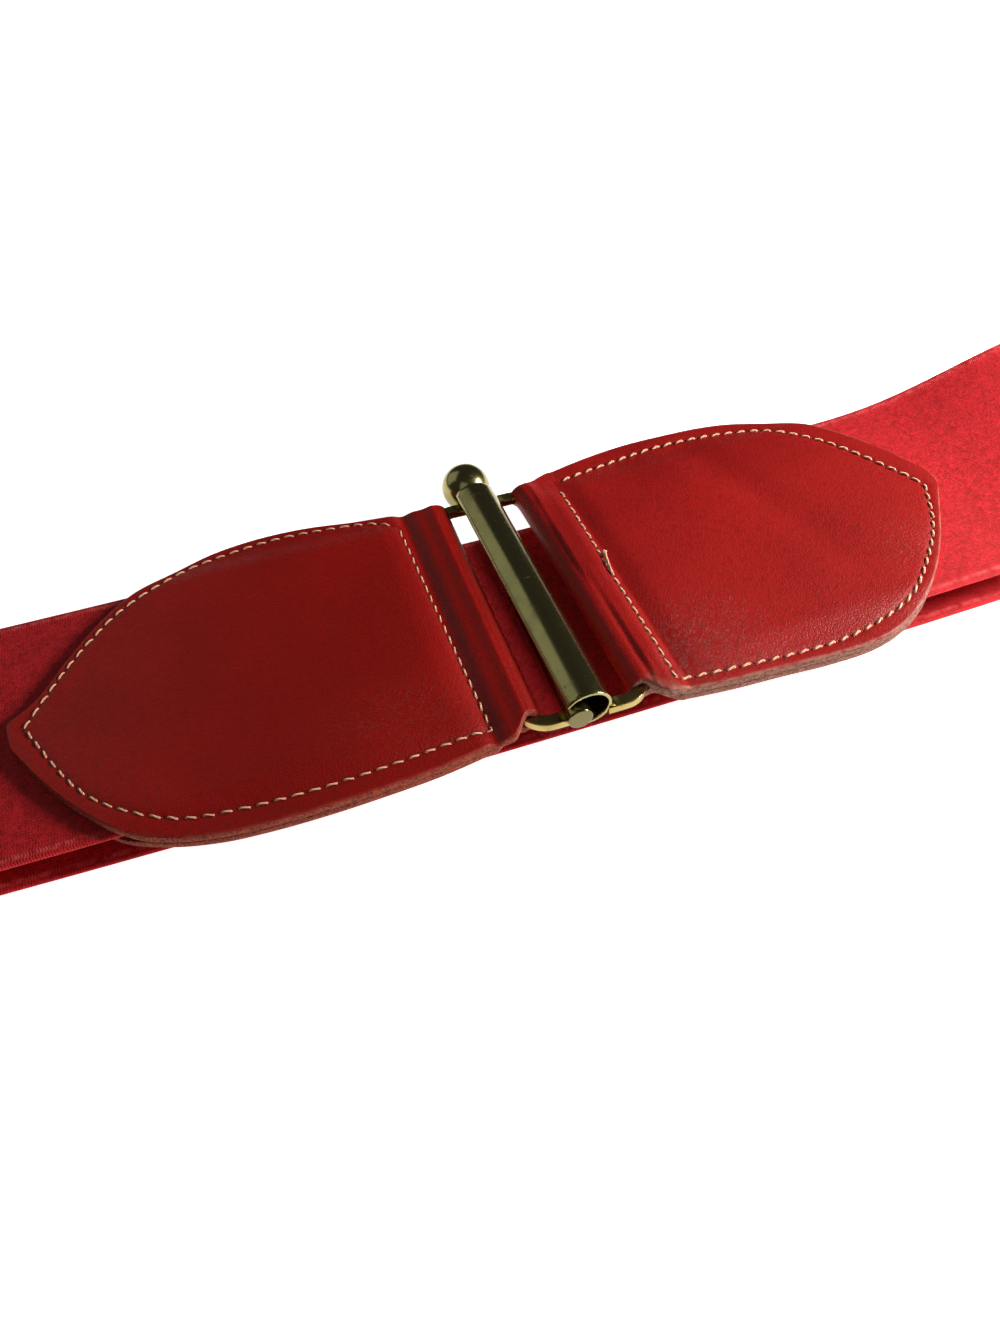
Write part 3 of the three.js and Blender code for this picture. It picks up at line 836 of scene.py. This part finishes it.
@dataclass
class Tab:
    """One tab: a leather strip folded round the clasp's bar, its two layers stitched round the band's end."""

    placer: Placer
    sizes: TabSizes
    finish: LeatherFinish
    thread: ThreadFinish
    slot: str
    node: str
    thickness: float = 1.8
    covered: float = 2.7
    roll_outer: float = 3.0
    roll_inner: float = 1.6
    roll_far: float = 33.0
    roll_near: float = 30.6
    shoulder: float = 2.6
    rim: float = 0.45
    columns: int = 92
    wall_points: int = 4
    stitch_pitch: float = 3.1
    stitch_length: float = 2.4

    def __post_init__(self) -> None:
        """Works out the outline and the seam in the tab's own plane: reach, and place across."""
        s = self.sizes
        reach = s.seam + (s.tip - s.seam) * np.array(s.ALONG)
        self.far_line = through(np.stack([reach, np.array(s.far)], 1), 24)
        self.near_line = through(np.stack([reach, np.array(s.near)], 1), 24)
        seam = np.array(s.seam_line)
        seam[:, 0] += seam[:, 1] * s.skew
        tip = int(np.argmax(seam[:, 0]))
        far, near = through(seam[: tip + 1], 12), through(seam[tip:], 12)
        self.seam = np.concatenate([far, near[1:], seam[:1]])
        neck = np.linspace(s.bar, s.seam, 24)[:-1]
        far_edge, near_edge = self.widths(neck, np.ones(len(neck)))
        self.outline = np.concatenate(
            [
                np.stack([neck, far_edge], 1),
                self.far_line,
                self.near_line[::-1] * [1, -1],
                np.stack([neck, -near_edge], 1)[::-1],
            ]
        )

    def widths(self, reach: np.ndarray, front: np.ndarray) -> tuple[np.ndarray, np.ndarray]:
        """Half widths on the far and the near side, opening from the roll to the seam.

        The front layer's near edge opens over the frame's corner, the back layer's beside it.

        Args:
            reach: Distance from the tube's axis.
            front: 1 on the front layer, 0 or less elsewhere.

        Returns:
            Far and near half widths.
        """
        s = self.sizes
        sides = []
        early = smooth(s.bar - 0.6, s.bar + 4.0, reach)
        late = smooth(s.bar + FRAME_WIDTH / 2, s.seam, reach)
        for line, roll, opened in (
            (self.far_line, self.roll_far, smooth(s.bar, s.seam, reach)),
            (self.near_line, self.roll_near, np.where(front > 0, early, late)),
        ):
            neck = roll + (line[0, 1] - roll) * opened
            sides.append(np.where(reach <= s.seam, neck, np.interp(reach, line[:, 0], line[:, 1])))
        return sides[0], sides[1]

    def layers(self, reach: np.ndarray, y: np.ndarray, front: np.ndarray) -> tuple[np.ndarray, np.ndarray]:
        """Heights of a layer's outer and inner face over the middle plane.

        The leather lies at one thickness, rises over the band by the band's half thickness with a soft
        shoulder at its edges, and swells round the bar, where both faces are circles.

        Args:
            reach: Distance from the tube's axis.
            y: Place across the band.
            front: 1 on the front layer, 0 or less elsewhere.

        Returns:
            Outer and inner heights.
        """
        s = self.sizes
        from_bar = reach - s.bar
        edge = BAND_HALF + CLEARANCE
        over = smooth(s.seam, s.seam + 2.5, reach) * (1 - smooth(edge, edge + self.shoulder, np.abs(y)))
        soft = smooth(s.seam - 1.0, s.seam + 5.5, reach) * (1 - smooth(edge - 3.0, edge + 4.5, np.abs(y)))
        neck = np.where(np.asarray(front) > 0, self.neck_rise(reach, y), 0.0)
        outer = self.thickness + (self.covered - self.thickness) * soft + neck
        inner = 0.04 + (BAND_HALF_THICKNESS + 0.1) * over + 0.7 * np.maximum(neck, 0) * (reach < s.seam - 1)
        scale = self.roll_scale(y)
        roll = scale * np.sqrt(np.maximum(self.roll_outer**2 - from_bar**2, 0.0))
        bore = scale * np.sqrt(np.maximum(self.roll_inner**2 - from_bar**2, 0.0))
        beside = from_bar < self.roll_outer + 1.5
        return np.where(beside, softer_max(roll, outer, 0.5), outer), np.maximum(bore, inner)

    def neck_rise(self, reach: np.ndarray, y: np.ndarray) -> np.ndarray:
        """How far the front layer rises over its lying thickness between the roll and the inner seam.

        A plain neck falls from the roll to the seam. A puffed one stays high and falls with the square of
        the way close to the seam, evenly at its far end; on the near half a hollow parts it from the roll.

        Args:
            reach: Distance from the tube's axis.
            y: Place across the band.

        Returns:
            The added height.
        """
        s = self.sizes
        rise = self.roll_outer - self.thickness
        share = np.clip((reach - s.bar) / (s.seam + 0.4 - s.bar), 0, 1)
        dip = 0.8 * np.exp(-(((reach - s.seam + 1.1) / 1.6) ** 2)) * (reach < s.seam + 2)
        plain = rise * (1 - share) ** 1.4 - dip
        if s.puff == 0:
            return plain * (reach > s.bar)
        uneven = 1 + 0.1 * np.sin(y / 4.3) + 0.06 * np.sin(y / 2.1 + 1.0)
        tall = s.puff * uneven * (1 - 0.25 * smooth(24, 33, y))
        fall = 1 - np.clip((share - 0.45) / 0.55, 0, 1) ** 2
        fall = fall + smooth(20, 33, y) * (1 - share - fall)
        parted = smooth(0.04, 0.3, share)
        return tall * fall * (parted + smooth(-18, 8, y) * (1 - parted)) * (reach > s.bar) * (share < 1)

    def roll_scale(self, y: np.ndarray) -> np.ndarray:
        """How much wider than at its middle the roll is towards its far end."""
        return 1 + (self.sizes.flare / self.roll_outer) * smooth(BAND_HALF / 2, self.roll_far, y)

    def lean(self, reach: np.ndarray, y: np.ndarray) -> np.ndarray:
        """How far a point moves towards the tube with the tab's yaw and with the roll's bent ends."""
        s = self.sizes
        past = np.clip(np.abs(y) - ARM_CENTRE + CORNER_RADIUS, 0, CORNER_RADIUS)
        bent = s.bend * (CORNER_RADIUS - np.sqrt(CORNER_RADIUS**2 - past**2))
        return y * s.skew + bent * (1 - smooth(0, s.seam - s.bar, reach - s.bar))

    def dents(self, reach: np.ndarray, y: np.ndarray) -> np.ndarray:
        """Soft unevenness of the leather between its seams, as heights in millimetres."""
        wave = 0.10 * np.sin(reach / 9.0 + y / 17.0) + 0.07 * np.sin(reach / 21.0 - y / 8.0 + 1.3)
        inside = smooth(self.sizes.seam, self.sizes.seam + 12, reach)
        if self.sizes.side is Side.RIGHT:
            across = (reach - 62.0) + 0.32 * (y - 5.0)
            wave = wave - 0.55 * np.exp(-((across / 5.5) ** 2)) * smooth(-34, -10, y)
            low = (reach - 74.0) + 0.5 * (y + 12.0)
            wave = wave - 0.28 * np.exp(-((low / 5.0) ** 2)) * (1 - smooth(-12, 6, y))
        return wave * inside

    def reaches(self) -> np.ndarray:
        """Places of the rings along a layer, from the tip to the bar, closer at the tip and the seam."""
        s = self.sizes
        body = s.tip - (s.tip - s.seam - 3.0) * np.linspace(0, 1, 104) ** 1.25
        close = s.tip - np.array([0.03, 0.1, 0.2, 0.32])
        neck = np.linspace(s.seam + 3.0, s.bar, 30)[1:]
        return np.sort(np.concatenate([body, close, neck]))[::-1]

    def build(self) -> bpy.types.Object:
        """Carries the strip's section from the front layer's tip round the bar to the back layer's tip.

        Returns:
            The leather of the tab.
        """
        s = self.sizes
        share = np.sin(np.linspace(-1, 1, self.columns) * math.pi / 2)
        flat = self.reaches()
        turn = np.radians(np.linspace(90, 270, 34))[1:-1]
        rings, cuts, wears, offs, runs = [], [], [], [], []
        plan = [(Face.FRONT, r, None) for r in flat] + [(None, s.bar, a) for a in turn]
        plan += [(Face.BACK, r, None) for r in flat[::-1]]
        reach = np.array([r for _, r, _ in plan])[:, None]
        angle = np.array([math.pi / 2 if a is None else a for _, _, a in plan])[:, None]
        sign = np.array([0 if f is None else f.value for f, _, _ in plan])[:, None]
        far, near = self.widths(reach, sign)
        y = np.where(share > 0, share * far, share * near)
        bulge = 0.9 * smooth(s.tip - 7, s.tip, reach) * (1 - share**2)
        out, inn = self.layers(reach, y, sign)
        away, _, _ = distance_to(self.outline, np.stack([np.broadcast_to(reach, y.shape).ravel(), y.ravel()], 1))
        away = away.reshape(y.shape)
        ends = np.minimum(far - y, y + near)
        away = np.where(sign == 0, ends, away)
        off, run, _ = distance_to(self.seam, np.stack([np.broadcast_to(reach, y.shape).ravel(), y.ravel()], 1))
        off, run = off.reshape(y.shape), run.reshape(y.shape) / self.stitch_pitch
        drop = self.rim - np.sqrt(self.rim**2 - (self.rim - np.minimum(away, self.rim)) ** 2)
        groove = 0.18 * np.exp(-((off / 0.7) ** 2))
        swell = self.dents(reach, y) * smooth(0.8, 6.0, away) * np.where(sign == 0, 0.0, 1.0)
        out = out - np.where(sign == 0, 0.0, groove) - drop + swell
        middle = self.placer.path.front_height(s, reach, y)
        scale = self.roll_scale(y)

        def placed(height: np.ndarray, radius: float, less: np.ndarray) -> np.ndarray:
            """Points of one face: straight over the flat layers, round the bar on the roll."""
            size = radius * scale - less
            along = np.where(sign == 0, s.bar + size * np.cos(angle), reach + bulge) - self.lean(reach, y)
            level = np.where(sign == 0, size * np.sin(angle), sign * height)
            x = s.side.value * along
            return np.stack([x, y + bow(x), middle + level], -1)

        outer = placed(out, self.roll_outer, drop)
        inner = placed(inn, self.roll_inner, 0.0 * drop)
        step = np.linspace(0, 1, self.wall_points + 2)[1:-1][None, :, None]
        puff = 0.1 * np.sin(step * math.pi)
        push = np.array([0.0, 1.0, 0.0])
        far_wall = outer[:, -1:] * (1 - step) + inner[:, -1:] * step + puff * push
        near_wall = inner[:, :1] * (1 - step) + outer[:, :1] * step - puff * push
        half = self.wall_points // 2
        rings = np.concatenate([near_wall[:, half:], outer, far_wall, inner[:, ::-1], near_wall[:, :half]], 1)
        cut = (away < 0.02).astype(float)
        cut[0], cut[-1] = 1.0, 1.0
        wear = self.wear(reach, y, sign)
        count = len(plan)
        wall = np.ones((count, half))
        full = np.ones((count, self.wall_points))
        inside = np.ones_like(y) * 0.85
        inside[:, [0, -1]] = 1.0

        def spread(value: np.ndarray, side: float, back: np.ndarray) -> np.ndarray:
            """A value of the outer face spread over the whole ring."""
            return np.concatenate([wall * side, value, full * side, back, wall * side], 1)

        values = {
            "cut": spread(cut, 1.0, inside),
            "wear": spread(wear, 0.0, 0.0 * y),
            "rim": spread(self.bare_rim_and_highlight(reach, y, away) * (sign > 0), 0.0, 0.0 * y),
            "fan": spread(np.arctan2(y + 33.5, reach - 17.5), 0.0, 0.0 * y),
            "seam_off": spread(np.where(sign == 0, 9.0, off), 9.0, 0.0 * y + 9.0),
            "seam_run": spread(run, 0.0, 0.0 * y),
        }
        shape = Shape.from_rings(rings, values)
        return self.placer.piece(self.node + "_leather", shape, self.finish.material(), self.slot, self.node)

    def wear(self, reach: np.ndarray, y: np.ndarray, sign: np.ndarray) -> np.ndarray:
        """How creased and rubbed the front layer is at each place, from 0 to 1; the pale creases that it brings are
        partly a painted sheen.
        """
        inside = smooth(self.sizes.seam, self.sizes.seam + 2.0, reach)
        if self.sizes.side is Side.RIGHT:
            low = np.exp(-(((reach - 26.0) / 14.0) ** 2) - ((y + 26.0) / 11.0) ** 2)
            tip = np.exp(-(((reach - 84.0) / 9.0) ** 2) - ((y + 16.0) / 8.0) ** 2)
            return np.where(sign > 0, (low + 0.3 * tip) * inside, 0.0)
        low = np.exp(-(((reach - 34.0) / 16.0) ** 2) - ((y + 22.0) / 8.0) ** 2)
        return np.where(sign > 0, 0.4 * low * inside, 0.0)

    def bare_rim_and_highlight(self, reach: np.ndarray, y: np.ndarray, away: np.ndarray) -> np.ndarray:
        """How pale the leather's edge is: a fine line along the rim, partly bare edge and partly a painted highlight,
        wider at the neck's near corner.
        """
        corner = smooth(self.sizes.bar, self.sizes.bar + 2, reach) * (1 - smooth(17.5, 20, reach)) * (y < 0)
        line = np.exp(-((away / 0.38) ** 2))
        return line if self.sizes.side is Side.LEFT else np.maximum(line, corner * np.exp(-((away / 1.5) ** 2)))

    def surface(self, reach: np.ndarray, y: np.ndarray, face: Face) -> np.ndarray:
        """Points on the front or back face of the leather, over its groove."""
        s = self.sizes
        outer, _ = self.layers(reach, y, np.full(np.shape(reach), face.value))
        x = s.side.value * (reach - self.lean(reach, y))
        return np.stack([x, y + bow(x), self.placer.path.front_height(s, reach, y) + face.value * outer], -1)

    def stitches(self, face: Face) -> bpy.types.Object:
        """Short slanted threads along the seam, thick in the middle and sunk at both ends.

        Args:
            face: The face that they lie on.

        Returns:
            The stitches of that face.
        """
        leg = np.linalg.norm(np.diff(self.seam, axis=0), axis=1)
        length = np.concatenate([[0.0], np.cumsum(leg)])
        count = int(length[-1] / self.stitch_pitch)
        pitch = self.stitch_pitch
        middle = (np.arange(count) + (1.0 if face is Face.FRONT else 0.5)) * pitch
        middle = middle[middle < length[-1] - pitch / 2]
        rows, sides = 11, 8
        t = np.linspace(-1, 1, rows)
        size = self.stitch_length * (1 + 0.06 * hashed(3, middle))
        at = middle[:, None] + t[None, :] * size[:, None] / 2
        place = np.stack([np.interp(at, length, self.seam[:, k]) for k in range(2)], -1)
        aim = place[:, -1] - place[:, 0]
        aim /= np.linalg.norm(aim, axis=1)[:, None]
        cross = np.stack([-aim[:, 1], aim[:, 0]], -1)
        slant = self.sizes.stitch_slant + 0.04 * hashed(5, middle)
        place = place + cross[:, None] * (slant[:, None] * t)[..., None] * size[:, None, None]
        base = self.surface(place[..., 0], place[..., 1], face)
        rise = 0.0 - 0.4 * np.abs(t) ** 4
        thick = self.sizes.stitch_radius * np.sqrt(np.clip(1.02 - np.abs(t) ** 5, 0.02, 1))
        around = np.linspace(0, math.tau, sides, endpoint=False)
        sideways = np.stack([self.sizes.side.value * cross[:, 0], cross[:, 1], 0 * cross[:, 0]], -1)
        up = np.array([0.0, 0.0, float(face.value)])
        ring = sideways[:, None, None] * np.cos(around)[:, None] + 0.85 * up * np.sin(around)[:, None]
        points = base[:, :, None] + up * rise[:, None, None] + ring * thick[:, None, None]
        shapes = [Shape.from_rings(p, {"twist": self.twist(rows, around)}) for p in points]
        if face is Face.FRONT and self.sizes.loose_thread:
            shapes.append(self.loose_end())
        shape = shapes[0].joined(*shapes[1:])
        name = f"{self.node}_{'front' if face is Face.FRONT else 'back'}_stitches"
        return self.placer.piece(name, shape, self.thread.material(), self.slot)

    def loose_end(self) -> Shape:
        """A loose end of thread that leaves the seam and lies along it, opening at its tip.

        Returns:
            The thread.
        """
        s = self.sizes
        line = through(np.array(s.loose_thread), 8)
        reach = line[:, 0] + line[:, 1] * s.skew
        base = self.surface(reach, line[:, 1], Face.FRONT)
        base[:, 2] += line[:, 2]
        share = np.linspace(0, 1, len(line))
        around = np.linspace(0, math.tau, 12, endpoint=False)
        thick = 0.3 + 0.28 * smooth(0.72, 0.97, share) - 0.5 * smooth(0.95, 1.0, share)
        frayed = 1 + 0.35 * smooth(0.7, 1, share)[:, None] * hashed(9, share[:, None] * 40, around[None, :] * 3)
        radius = np.maximum(thick[:, None], 0.05) * frayed
        ring = np.stack([np.cos(around), 0 * around, np.sin(around)], -1)
        points = base[:, None] + ring[None] * radius[..., None]
        return Shape.from_rings(points, {"twist": self.twist(len(line), around) * 2.5})

    @staticmethod
    def twist(rows: int, around: np.ndarray) -> np.ndarray:
        """Place round a thread's plies at each of its points."""
        return np.linspace(0, 1.6, rows)[:, None] + around[None, :] / math.tau * 2.0


@dataclass
class Clasp:
    """The pin-and-tube clasp: each half a frame of flat wire with a pin or a slotted tube soldered on."""

    placer: Placer
    finish: BrassFinish
    frame_finish: BrassFinish
    tube_width: float = 9.6
    tube_height: float = 8.7
    tube_wall: float = 0.7
    tube_trim: float = 0.45
    tube_rise: float = 2.0
    slot_top: float = 27.0
    slot_bottom: float = 75.0
    pin_diameter: float = 5.0
    pin_drop: float = 0.7
    pin_shift: float = 1.25
    pin_end: float = 1.3
    ball_diameter: float = 11.2
    wire_round: float = 0.45

    @property
    def tube_half_length(self) -> float:
        """Half the tube's length."""
        return FRAME_INNER / 2 + FRAME_WIDTH - self.tube_trim

    def wire(self, tab: TabSizes, shift: float, inner: float) -> Shape:
        """A frame of flat wire with round corners, from one arm's inner end round the bar to the other's.

        Args:
            tab: The tab whose bar it is.
            shift: How far the half is moved along the belt.
            inner: Reach of the arms' inner ends.

        Returns:
            The frame.
        """
        bar, r = tab.bar - shift, CORNER_RADIUS
        turn = np.radians(np.linspace(0, 90, 13))
        far = np.stack([bar - r + r * np.sin(turn), ARM_CENTRE - r + r * np.cos(turn)], 1)
        straight = np.linspace(0, 1, 9)[1:-1, None]
        corners = np.concatenate([[[inner, ARM_CENTRE]], far])
        corners = np.concatenate([corners, far[-1] + (far[-1] * [1, -1] - far[-1]) * straight, corners[::-1] * [1, -1]])
        tangent = np.gradient(corners, axis=0)
        tangent /= np.linalg.norm(tangent, axis=1)[:, None]
        side = np.stack([-tangent[:, 1], tangent[:, 0]], 1)
        flat, high = FRAME_WIDTH / 2, FRAME_THICKNESS / 2
        around = np.linspace(0, math.tau, 28, endpoint=False) + math.pi / 28
        power = 0.32
        wide = flat * np.sign(np.cos(around)) * np.abs(np.cos(around)) ** power
        tall = high * np.sign(np.sin(around)) * np.abs(np.sin(around)) ** power
        plan = corners[:, None] + side[:, None] * wide[None, :, None]
        x = tab.side.value * plan[..., 0]
        angle = math.radians(tab.side.value * tab.yaw)
        turned_x = x * math.cos(angle) - plan[..., 1] * math.sin(angle) + tab.side.value * shift
        turned_y = x * math.sin(angle) + plan[..., 1] * math.cos(angle)
        z = CLASP_HEIGHT + np.broadcast_to(tall, x.shape)
        return Shape.from_rings(np.stack([turned_x, turned_y, z], -1))

    def lathe(self, profile: np.ndarray, sides: int) -> np.ndarray:
        """Turns a profile of (place along Y, radius) about the pin's axis."""
        around = np.linspace(0, math.tau, sides, endpoint=False)
        x = profile[:, 1:] * np.cos(around)
        z = profile[:, 1:] * np.sin(around)
        y = np.broadcast_to(profile[:, :1], x.shape)
        angle = math.radians(LEFT_TAB.side.value * LEFT_TAB.yaw)
        level = CLASP_HEIGHT + self.tube_rise - self.pin_drop
        turned_x = x * math.cos(angle) - y * math.sin(angle) - self.pin_shift
        return np.stack([turned_x, x * math.sin(angle) + y * math.cos(angle), z + level], -1)

    def build_pin(self) -> list[bpy.types.Object]:
        """The pin with its ball and its frame.

        Returns:
            The polished pin and the plainer frame.
        """
        radius, ball = self.pin_diameter / 2, self.ball_diameter / 2
        bore = self.tube_height / 2 - self.tube_wall
        reach = math.sqrt((ball + CLEARANCE) ** 2 - (bore - self.pin_drop) ** 2)
        middle = self.tube_half_length + reach
        end = -self.tube_half_length - self.pin_end
        edge = 0.35
        round_off = np.linspace(0, math.pi / 2, 6)
        chamfer = np.stack([end + edge * (1 - np.sin(round_off)), radius - edge * (1 - np.cos(round_off))], 1)[::-1]
        face = np.array([[end, 0.02], [end, radius * 0.5], [end, radius - edge - 0.05]])
        rod = np.concatenate([face, chamfer, [[end + 2, radius], [0, radius], [middle, radius]]])
        lat = np.linspace(-math.pi / 2 + 0.01, math.pi / 2 - 0.01, 48)
        globe = np.stack([middle + ball * np.sin(lat), ball * np.cos(lat)], 1)
        polished = Shape.from_rings(self.lathe(rod, 64)).joined(Shape.from_rings(self.lathe(globe, 80)))
        wire = self.wire(LEFT_TAB, self.pin_shift, 0.0)
        return [
            self.placer.piece("pin_and_ball", polished, self.finish.material(), "pin_brass", "pin_half"),
            self.placer.piece("pin_frame", wire, self.frame_finish.material(), "pin_brass", "pin_half"),
        ]

    def build_tube(self) -> list[bpy.types.Object]:
        """The slotted tube with its frame.

        Returns:
            The polished tube and the plainer frame.
        """
        start, end = math.radians(180 + self.slot_bottom), math.radians(540 - self.slot_top)
        around = np.linspace(start, end, 120)
        lip = np.radians(np.linspace(-90, 90, 9))[1:-1]
        wide, high, wall = self.tube_width / 2, self.tube_height / 2, self.tube_wall
        mid = np.stack([(wide - wall / 2) * np.cos(around), (high - wall / 2) * np.sin(around)], 1)
        tangent = np.gradient(mid, axis=0)
        tangent /= np.linalg.norm(tangent, axis=1)[:, None]
        normal = np.stack([tangent[:, 1], -tangent[:, 0]], 1)

        def section(half: float) -> np.ndarray:
            """Outline of the tube's wall at one half thickness, with round lips."""
            tail = mid[-1] + half * (np.cos(lip)[:, None] * tangent[-1] - np.sin(lip)[:, None] * normal[-1])
            head = mid[0] + half * (-np.cos(lip)[:, None] * tangent[0] + np.sin(lip)[:, None] * normal[0])
            outer, inner = mid + half * normal, mid - half * normal
            ring = np.concatenate([outer, tail, inner[::-1], head])
            return np.roll(ring, len(lip) // 2 + 1, axis=0)

        length = self.tube_half_length
        edge = 0.16
        places = [(-length, wall / 2 - edge), (-length + edge * 0.4, wall / 2 - edge * 0.35), (-length + edge, wall / 2)]
        places += [(y, wall / 2) for y in np.linspace(-length + 1, length - 1, 24)]
        places += [(-y, half) for y, half in places[:3][::-1]]
        rings = np.array([np.insert(section(half), 1, y, axis=1) for y, half in places])
        rings[..., 2] += CLASP_HEIGHT + self.tube_rise
        tube = Shape.from_rings(rings)
        wire = self.wire(RIGHT_TAB, 0.0, self.tube_width / 2 - self.tube_wall)
        return [
            self.placer.piece("slotted_tube", tube, self.finish.material(), "tube_brass", "tube_half"),
            self.placer.piece("tube_frame", wire, self.frame_finish.material(), "tube_brass", "tube_half"),
        ]


@dataclass
class Studio:
    """Camera, lights, floor and surroundings."""

    placer: Placer
    focal_pixels: float = 1014.74
    image_height: float = 1330.0
    sensor: float = 36.0
    azimuth: float = -19.15
    elevation: float = 48.26
    roll: float = -1.01
    distance: float = 204.8
    target: tuple[float, float, float] = (-10.5, -12.96, 6.0)

    def camera(self) -> None:
        """A pinhole camera from the photograph's side: looking along back, with its own right and up."""
        a, e, r = (math.radians(v) for v in (self.azimuth, self.elevation, self.roll))
        back = np.array([math.sin(a) * math.cos(e), -math.cos(a) * math.cos(e), math.sin(e)])
        level = np.array([math.cos(a), math.sin(a), 0.0])
        upright = np.cross(back, level)
        right = math.cos(r) * level + math.sin(r) * upright
        up = -math.sin(r) * level + math.cos(r) * upright
        place = self.placer.place(np.array(self.target) + self.distance * back)
        data = bpy.data.cameras.new("camera")
        data.lens = self.focal_pixels / self.image_height * self.sensor
        data.sensor_width = self.sensor
        data.clip_start = 0.01
        matrix = Matrix.Identity(4)
        for row in range(3):
            matrix[row][0], matrix[row][1], matrix[row][2] = right[row], up[row], back[row]
            matrix[row][3] = place[row]
        obj = bpy.data.objects.new("camera", data)
        obj.matrix_world = matrix
        bpy.context.scene.collection.objects.link(obj)
        bpy.context.scene.camera = obj

    def lamp(self, name: str, place: Sequence[float], size: float, power: float, colour: Sequence[float]) -> None:
        """A square soft light at a place in metres, turned towards the clasp."""
        data = bpy.data.lights.new(name, "AREA")
        data.size = size
        data.energy = power
        data.color = tuple(colour)
        obj = bpy.data.objects.new(name, data)
        back = np.array(place) / np.linalg.norm(place)
        level = np.cross([0.0, 0.0, 1.0], back)
        level /= np.linalg.norm(level)
        up = np.cross(back, level)
        matrix = Matrix.Identity(4)
        for row in range(3):
            matrix[row][0], matrix[row][1], matrix[row][2], matrix[row][3] = level[row], up[row], back[row], place[row]
        obj.matrix_world = matrix
        bpy.context.scene.collection.objects.link(obj)

    def floor(self) -> None:
        """A wide pale floor just under the belt."""
        g = Graph("floor")
        material = g.finish(
            Base_Color=(0.9, 0.9, 0.9, 1.0),
            Roughness=0.9,
            Specular_IOR_Level=0.1,
            Emission_Color=(1.0, 1.0, 1.0, 1.0),
            Emission_Strength=0.96,
        )
        mesh = bpy.data.meshes.new("floor")
        size, level = 6.0, -0.00005
        corners = [(-size, -size, level), (size, -size, level), (size, size, level), (-size, size, level)]
        mesh.from_pydata(corners, [], [(0, 1, 2, 3)])
        mesh.materials.append(material)
        obj = bpy.data.objects.new("floor", mesh)
        bpy.context.scene.collection.objects.link(obj)

    def surroundings(self) -> None:
        """A dim neutral world, so that the brass keeps its dark reflections."""
        world = bpy.data.worlds.new("studio")
        world.use_nodes = True
        shade = world.node_tree.nodes["Background"]
        shade.inputs["Color"].default_value = (0.8, 0.82, 0.85, 1.0)
        shade.inputs["Strength"].default_value = 0.06
        bpy.context.scene.world = world
        bpy.context.scene.view_settings.view_transform = "Standard"

    def build(self) -> None:
        """Sets up the whole studio."""
        self.camera()
        self.floor()
        self.surroundings()
        self.lamp("key", (0.3, -0.07, 0.17), 0.1, 1.75, (1.0, 0.97, 0.92))
        self.lamp("fill", (-0.3, -0.5, 0.6), 0.5, 0.3, (1.0, 1.0, 1.0))
        self.lamp("window", (-0.3, 0.32, 0.25), 0.4, 0.24, (0.9, 1.0, 0.92))
        self.lamp("low", (0.34, -0.3, 0.05), 0.2, 0.3, (1.0, 0.98, 0.95))
        LOG.info("studio ready")


# Lit and shaded copies of one red leather: the left copy is painted darker, with a darker cut edge and a fainter rim,
# as painted shade on the left side; the right copy stands for the lit side.
RED_LEATHER_RIGHT_LIT = LeatherFinish(
    name="right_tab_leather",
    deep=(0.27, 0.005, 0.004),
    light=(0.38, 0.009, 0.007),
    worn_and_sheen=(0.62, 0.13, 0.09),
    raw=(0.36, 0.17, 0.12),
    raw_dark=(0.15, 0.045, 0.03),
    roughness=0.4,
    pitch=3.1,
    bare_rim_and_highlight_share=0.8,
)
RED_LEATHER_LEFT_SHADED = LeatherFinish(
    name="left_tab_leather",
    deep=(0.25, 0.004, 0.002),
    light=(0.34, 0.006, 0.003),
    worn_and_sheen=(0.6, 0.12, 0.08),
    raw=(0.36, 0.07, 0.035),
    raw_dark=(0.11, 0.018, 0.009),
    roughness=0.38,
    pitch=3.1,
    bare_rim_and_highlight_share=0.25,
)
ELASTIC = ElasticFinish(
    name="knitted_elastic",
    deep=(0.3, 0.004, 0.005),
    light=(0.69, 0.017, 0.026),
    fuzz=(0.85, 0.16, 0.15),
)
THREAD = ThreadFinish(name="cream_thread", colour=(0.95, 0.6, 0.4), shade=(0.62, 0.26, 0.15))
POLISHED = BrassFinish(name="polished_brass", colour=(0.34, 0.29, 0.12), dull=(0.2, 0.17, 0.07), roughness=0.19)
WIRE = BrassFinish(name="wire_brass", colour=(0.4, 0.3, 0.1), dull=(0.22, 0.15, 0.04), roughness=0.26)


def main() -> None:
    """Builds the belt piece by piece, then the studio."""
    logging.basicConfig(level=logging.INFO, format="%(name)s: %(message)s")
    placer = Placer(BandPath())
    ElasticBand(placer, ELASTIC).build()
    tabs = (
        Tab(placer, LEFT_TAB, RED_LEATHER_LEFT_SHADED, THREAD, "left_leather", "left_tab"),
        Tab(placer, RIGHT_TAB, RED_LEATHER_RIGHT_LIT, THREAD, "right_leather", "right_tab"),
    )
    for tab in tabs:
        tab.build()
        for face in Face:
            tab.stitches(face)
    clasp = Clasp(placer, POLISHED, WIRE)
    clasp.build_pin()
    clasp.build_tube()
    Studio(placer).build()


if __name__ == "__main__":
    main()
